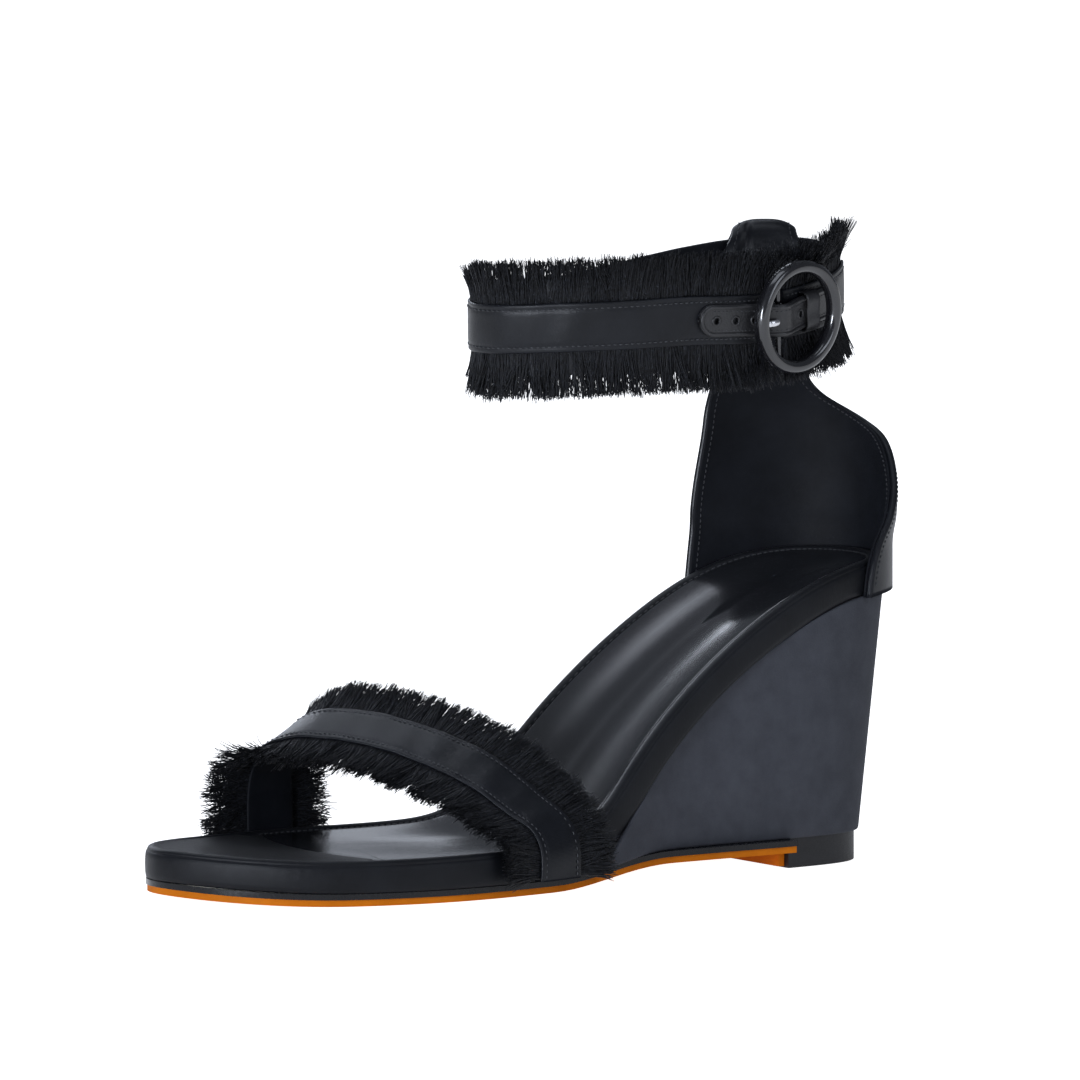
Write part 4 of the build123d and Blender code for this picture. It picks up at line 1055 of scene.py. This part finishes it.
def prong():
    """The bright prong: an eye round the bar and a bent, rounded arm."""
    line = Smooth([(0.6, 0.9), (1.6, 1.75), (2.9, 2.15), (4.4, 1.85), (5.7, 1.65)])
    t = np.linspace(0, 1, 26)
    spots = line(t)
    points = at_buckle(BAR_FORWARD + spots[:, 0], BAR_HEIGHT + spots[:, 1])
    ends = np.sqrt(np.clip(1 - ((t - 0.88) / 0.12).clip(0, 1) ** 2, 0.02, 1))
    section = tube_profile(1.0, 0.78, 18)[None] * ends[:, None, None]
    arm = sweep("prong_arm", points, buckle_up, facing(line.heading(t)), section, prong_metal, "prong")
    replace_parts(arm, "buckle_prong")
    radial = spokes(buckle_forward, buckle_out, 40)
    sweep("prong_eye", at_buckle(BAR_FORWARD, BAR_HEIGHT) + radial * 1.3, radial, buckle_up,
          tube_profile(0.34, 1.25, 18), prong_metal, "prong", closed=True)


def leather(name, path, across, out, profile, closed=False):
    """A leather piece of the buckle's strap work."""
    return sweep(name, path, across, out, profile, strap_leather, "ankle_strap", closed)


def on_strap(forward, out, up=0.0):
    """A point given in the buckle's directions that follows the strap's rise ahead of the buckle."""
    rise = band_rise(BUCKLE_S + np.maximum(np.asarray(forward, float), 0.0))
    return at_buckle(forward, out, np.asarray(up, float) + rise)


def tail_line():
    """The tail's middle line in the buckle's forward and out directions."""
    return Smooth([(TAIL_BACK, strap_drop(TAIL_BACK) + ON_RIBBON), (-12, strap_drop(-12) + ON_RIBBON + 0.1),
                   (-7, 4.0), (-2.5, 5.0), (1.5, 6.6),
                   (BAR_FORWARD, BAR_HEIGHT + KNUCKLE_RADIUS + 0.15 + TAIL_THICKNESS / 2),
                   (9.6, 5.9), (12.5, 3.45), (16.5, strap_drop(16.5) + ON_RIBBON),
                   (23, strap_drop(23) + ON_RIBBON), (TAIL_FRONT, strap_drop(TAIL_FRONT) + ON_RIBBON)])


def drilled(piece, cutters):
    """The piece with each cutter's shape taken out of it."""
    for cutter in cutters:
        cut = piece.modifiers.new("cut", "BOOLEAN")
        cut.operation = "DIFFERENCE"
        cut.solver = "EXACT"
        cut.object = cutter
    bpy.context.view_layer.update()
    graph = bpy.context.evaluated_depsgraph_get()
    mesh = bpy.data.meshes.new_from_object(piece.evaluated_get(graph))
    piece.modifiers.clear()
    piece.data = mesh
    for cutter in cutters:
        bpy.data.objects.remove(cutter)


def tail():
    """The leather tail: rounded tip, raised border, and punched holes with rims."""
    line = tail_line()
    t = np.linspace(0, 1, 130)
    travel = line(t)[:, 0]

    def on_tail(k, up=0.0):
        """Point and outward direction at shares of the tail's length."""
        spot = line(k)
        return on_strap(spot[..., 0], spot[..., 1], up), facing(line.heading(k))

    path, out = on_tail(t)
    ahead = line.length * (1 - t)
    narrow = np.sqrt(np.clip(1 - ((TAIL_WIDTH / 2 - ahead) / (TAIL_WIDTH / 2)).clip(0, 1) ** 2, 0.003, 1))
    profile = each_row(strap_profile(TAIL_WIDTH, -TAIL_THICKNESS / 2, TAIL_THICKNESS / 2, columns=20,
                                     round_share=0.35), len(t))
    profile[..., 0] *= narrow[:, None]
    piece = leather("strap_tail", path, buckle_up, out, profile)
    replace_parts(piece, "buckle_strap")
    holes = [on_tail(np.interp(hole, travel, t)) for hole in HOLES]
    cutters = []
    for centre, normal in holes:
        bpy.ops.mesh.primitive_cylinder_add(vertices=24, radius=HOLE_RADIUS * MM, depth=8 * MM,
                                            location=place(centre).tolist())
        cutter = bpy.context.object
        cutter.rotation_euler = Vector(normal).to_track_quat("Z", "Y").to_euler()
        cutters.append(cutter)
    drilled(piece, cutters)
    for k, (centre, normal) in enumerate(holes):
        radial = spokes(unit(np.cross(normal, buckle_up)), buckle_up, 32)
        leather(f"hole_rim_{k + 1}", centre + normal * TAIL_FACE + radial * 1.15, radial, normal,
                tube_profile(0.34, 0.26, 10), closed=True)
    half = TAIL_WIDTH / 2 - 0.85
    straight = np.linspace(0, line.length - TAIL_WIDTH / 2, 110)
    turn = np.linspace(0, pi, 24)[1:-1]
    run = np.concatenate([straight, line.length - TAIL_WIDTH / 2 + half * np.sin(turn), straight[::-1]])
    height = np.concatenate([np.full(110, half), half * np.cos(turn), np.full(110, -half)])
    spot, normal = on_tail(run / line.length, height)
    bead = spot + normal * 0.62
    along = unit(np.gradient(bead, axis=0))
    leather("tail_bead", bead, unit(np.cross(along, normal)), normal, tube_profile(0.5, 0.3, 12))
    k = np.arange(2.0, line.length - TAIL_WIDTH / 2, 1.25) / line.length
    head = line.heading(k)
    along = buckle_forward * head[:, 0:1] + buckle_out * head[:, 1:2]
    for name, up in (("tail_stitches_low", 1.05 - half), ("tail_stitches_high", half - 1.05)):
        spot, normal = on_tail(k, up)
        stitch_row(name, spot + normal * TAIL_FACE, along, normal, "ankle_strap", 0.8, 0.13)


def keeper():
    """The small leather loop inside the ring that holds the tail down."""
    half, low, high, corner = TAIL_WIDTH / 2 + 0.6, RIBBON_TOP + 0.35, 5.8, 0.9
    loop = Smooth([(-half, low), (-half, high - corner), (-half + corner, high), (0, high + 0.1),
                   (half - corner, high), (half, high - corner), (half, low)])
    t = np.linspace(0, 1, 60)
    spots, heads = loop(t), loop.heading(t)
    piece = leather("keeper_loop", at_buckle(KEEPER_FORWARD, spots[:, 1], spots[:, 0]), buckle_forward,
                    facing(heads, buckle_up), strap_profile(4.8, -0.35, 0.35, columns=10))
    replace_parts(piece, "keeper")


def chape():
    """The leather fold that holds the bar, open in the middle for the prong."""
    fold = Smooth([(GAP_FRONT - 0.5 - BAR_FORWARD, LAYER - BAR_HEIGHT + 0.1), (-1.3, -1.0), (-1.25, 0.4),
                   (-0.4, 1.25), (0.6, 1.15), (1.25, 0.3), (1.1, -0.8), (0.2, -1.25), (-0.6, -1.2)])
    t = np.linspace(0, 1, 50)
    spots, heads = fold(t), fold.heading(t)
    for name, centre in (("chape_low", -2.85), ("chape_high", 2.85)):
        points = at_buckle(BAR_FORWARD + spots[:, 0], BAR_HEIGHT + spots[:, 1], centre)
        piece = leather(name, points, buckle_up, facing(heads), strap_profile(2.7, -0.3, 0.3, columns=8))
        if name == "chape_low":
            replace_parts(piece, "chape")


ring_and_bar()
prong()
tail()
keeper()
chape()

# ---------------------------------------------------------------- floor, light and camera

AZIMUTH, ELEVATION = 57.0, 6.1
DISTANCE = 9.0
FRAME_WIDTH = 0.288
SENSOR_WIDTH = 36.0
ROOM_LIGHT, ROOM_COLOUR = 0.15, (0.88, 0.95, 1.1, 1)
LAMP_COLOUR = (0.9, 0.96, 1.08)
FLOOR_LIGHT, FLOOR_SIZE, FLOOR_Z = 0.4, 30, -0.0002
target = Vector(place([0.0, -107.0, 89.9]))


def aimed(name, data, azimuth, elevation, distance):
    """A lamp or camera looking at the shoe from this far off."""
    a, e = radians(azimuth), radians(elevation)
    way = Vector((sin(a) * cos(e), -cos(a) * cos(e), sin(e)))
    made = bpy.data.objects.new(name, data)
    made.location = target + way * distance
    made.rotation_euler = (-way).to_track_quat("-Z", "Y").to_euler()
    bpy.context.scene.collection.objects.link(made)
    return made


def seen_white(tree, light, socket):
    """Full strength where the camera looks at it, and a weaker strength as light on the shoe."""
    seen = tree.nodes.new("ShaderNodeLightPath")
    tree.links.new(ramp(tree, seen.outputs["Is Camera Ray"], 0.0, 1.0, light, 1.0), socket)


def studio():
    """Pale floor and white surround."""
    bpy.ops.mesh.primitive_plane_add(size=FLOOR_SIZE, location=(0, 0, FLOOR_Z))
    floor = bpy.context.object
    floor.name = "floor"
    material, tree, shader = new_material("floor")
    shade = noise(tree, object_coordinates(tree), 0.002, detail=2.0)
    colour = ramp(tree, shade, 0.3, 0.7, (0.93, 0.93, 0.93), (0.96, 0.96, 0.96))
    tree.links.new(colour, shader.inputs["Base Color"])
    set_inputs(shader, {"Roughness": 0.9, "Specular IOR Level": 0.0, "Emission Color": (1, 1, 1, 1)})
    seen_white(tree, FLOOR_LIGHT, shader.inputs["Emission Strength"])
    floor.data.materials.append(material)
    world = bpy.data.worlds.new("studio")
    bpy.context.scene.world = world
    world.use_nodes = True
    background = world.node_tree.nodes["Background"]
    background.inputs["Color"].default_value = ROOM_COLOUR
    seen_white(world.node_tree, ROOM_LIGHT, background.inputs["Strength"])
    bpy.context.scene.view_settings.view_transform = "Standard"


def lamp(name, azimuth, elevation, distance, size, power):
    """A soft oblong lamp."""
    data = bpy.data.lights.new(name, "AREA")
    data.shape = "RECTANGLE"
    data.size, data.size_y = size
    data.energy = power
    data.color = LAMP_COLOUR
    aimed(name, data, azimuth, elevation, distance)


def camera():
    """The camera at the photograph's viewing angle."""
    data = bpy.data.cameras.new("camera")
    data.sensor_width = SENSOR_WIDTH
    data.lens = DISTANCE * SENSOR_WIDTH / FRAME_WIDTH
    data.clip_end = 100
    bpy.context.scene.camera = aimed("camera", data, AZIMUTH, ELEVATION, DISTANCE)


studio()
lamp("lamp_top", 20, 78, 1.4, (1.1, 0.7), 4)
lamp("lamp_front", 22, 3, 1.4, (0.3, 0.5), 16)
lamp("lamp_right", 106, 22, 1.6, (0.6, 1.1), 5.5)
lamp("lamp_far_high", 268, 50, 1.6, (1.2, 0.28), 4.0)
lamp("lamp_far_middle", 265, 15, 1.6, (1.2, 0.2), 3.2)
lamp("lamp_far_low", 240, 9, 1.8, (1.0, 0.25), 0.5)
camera()
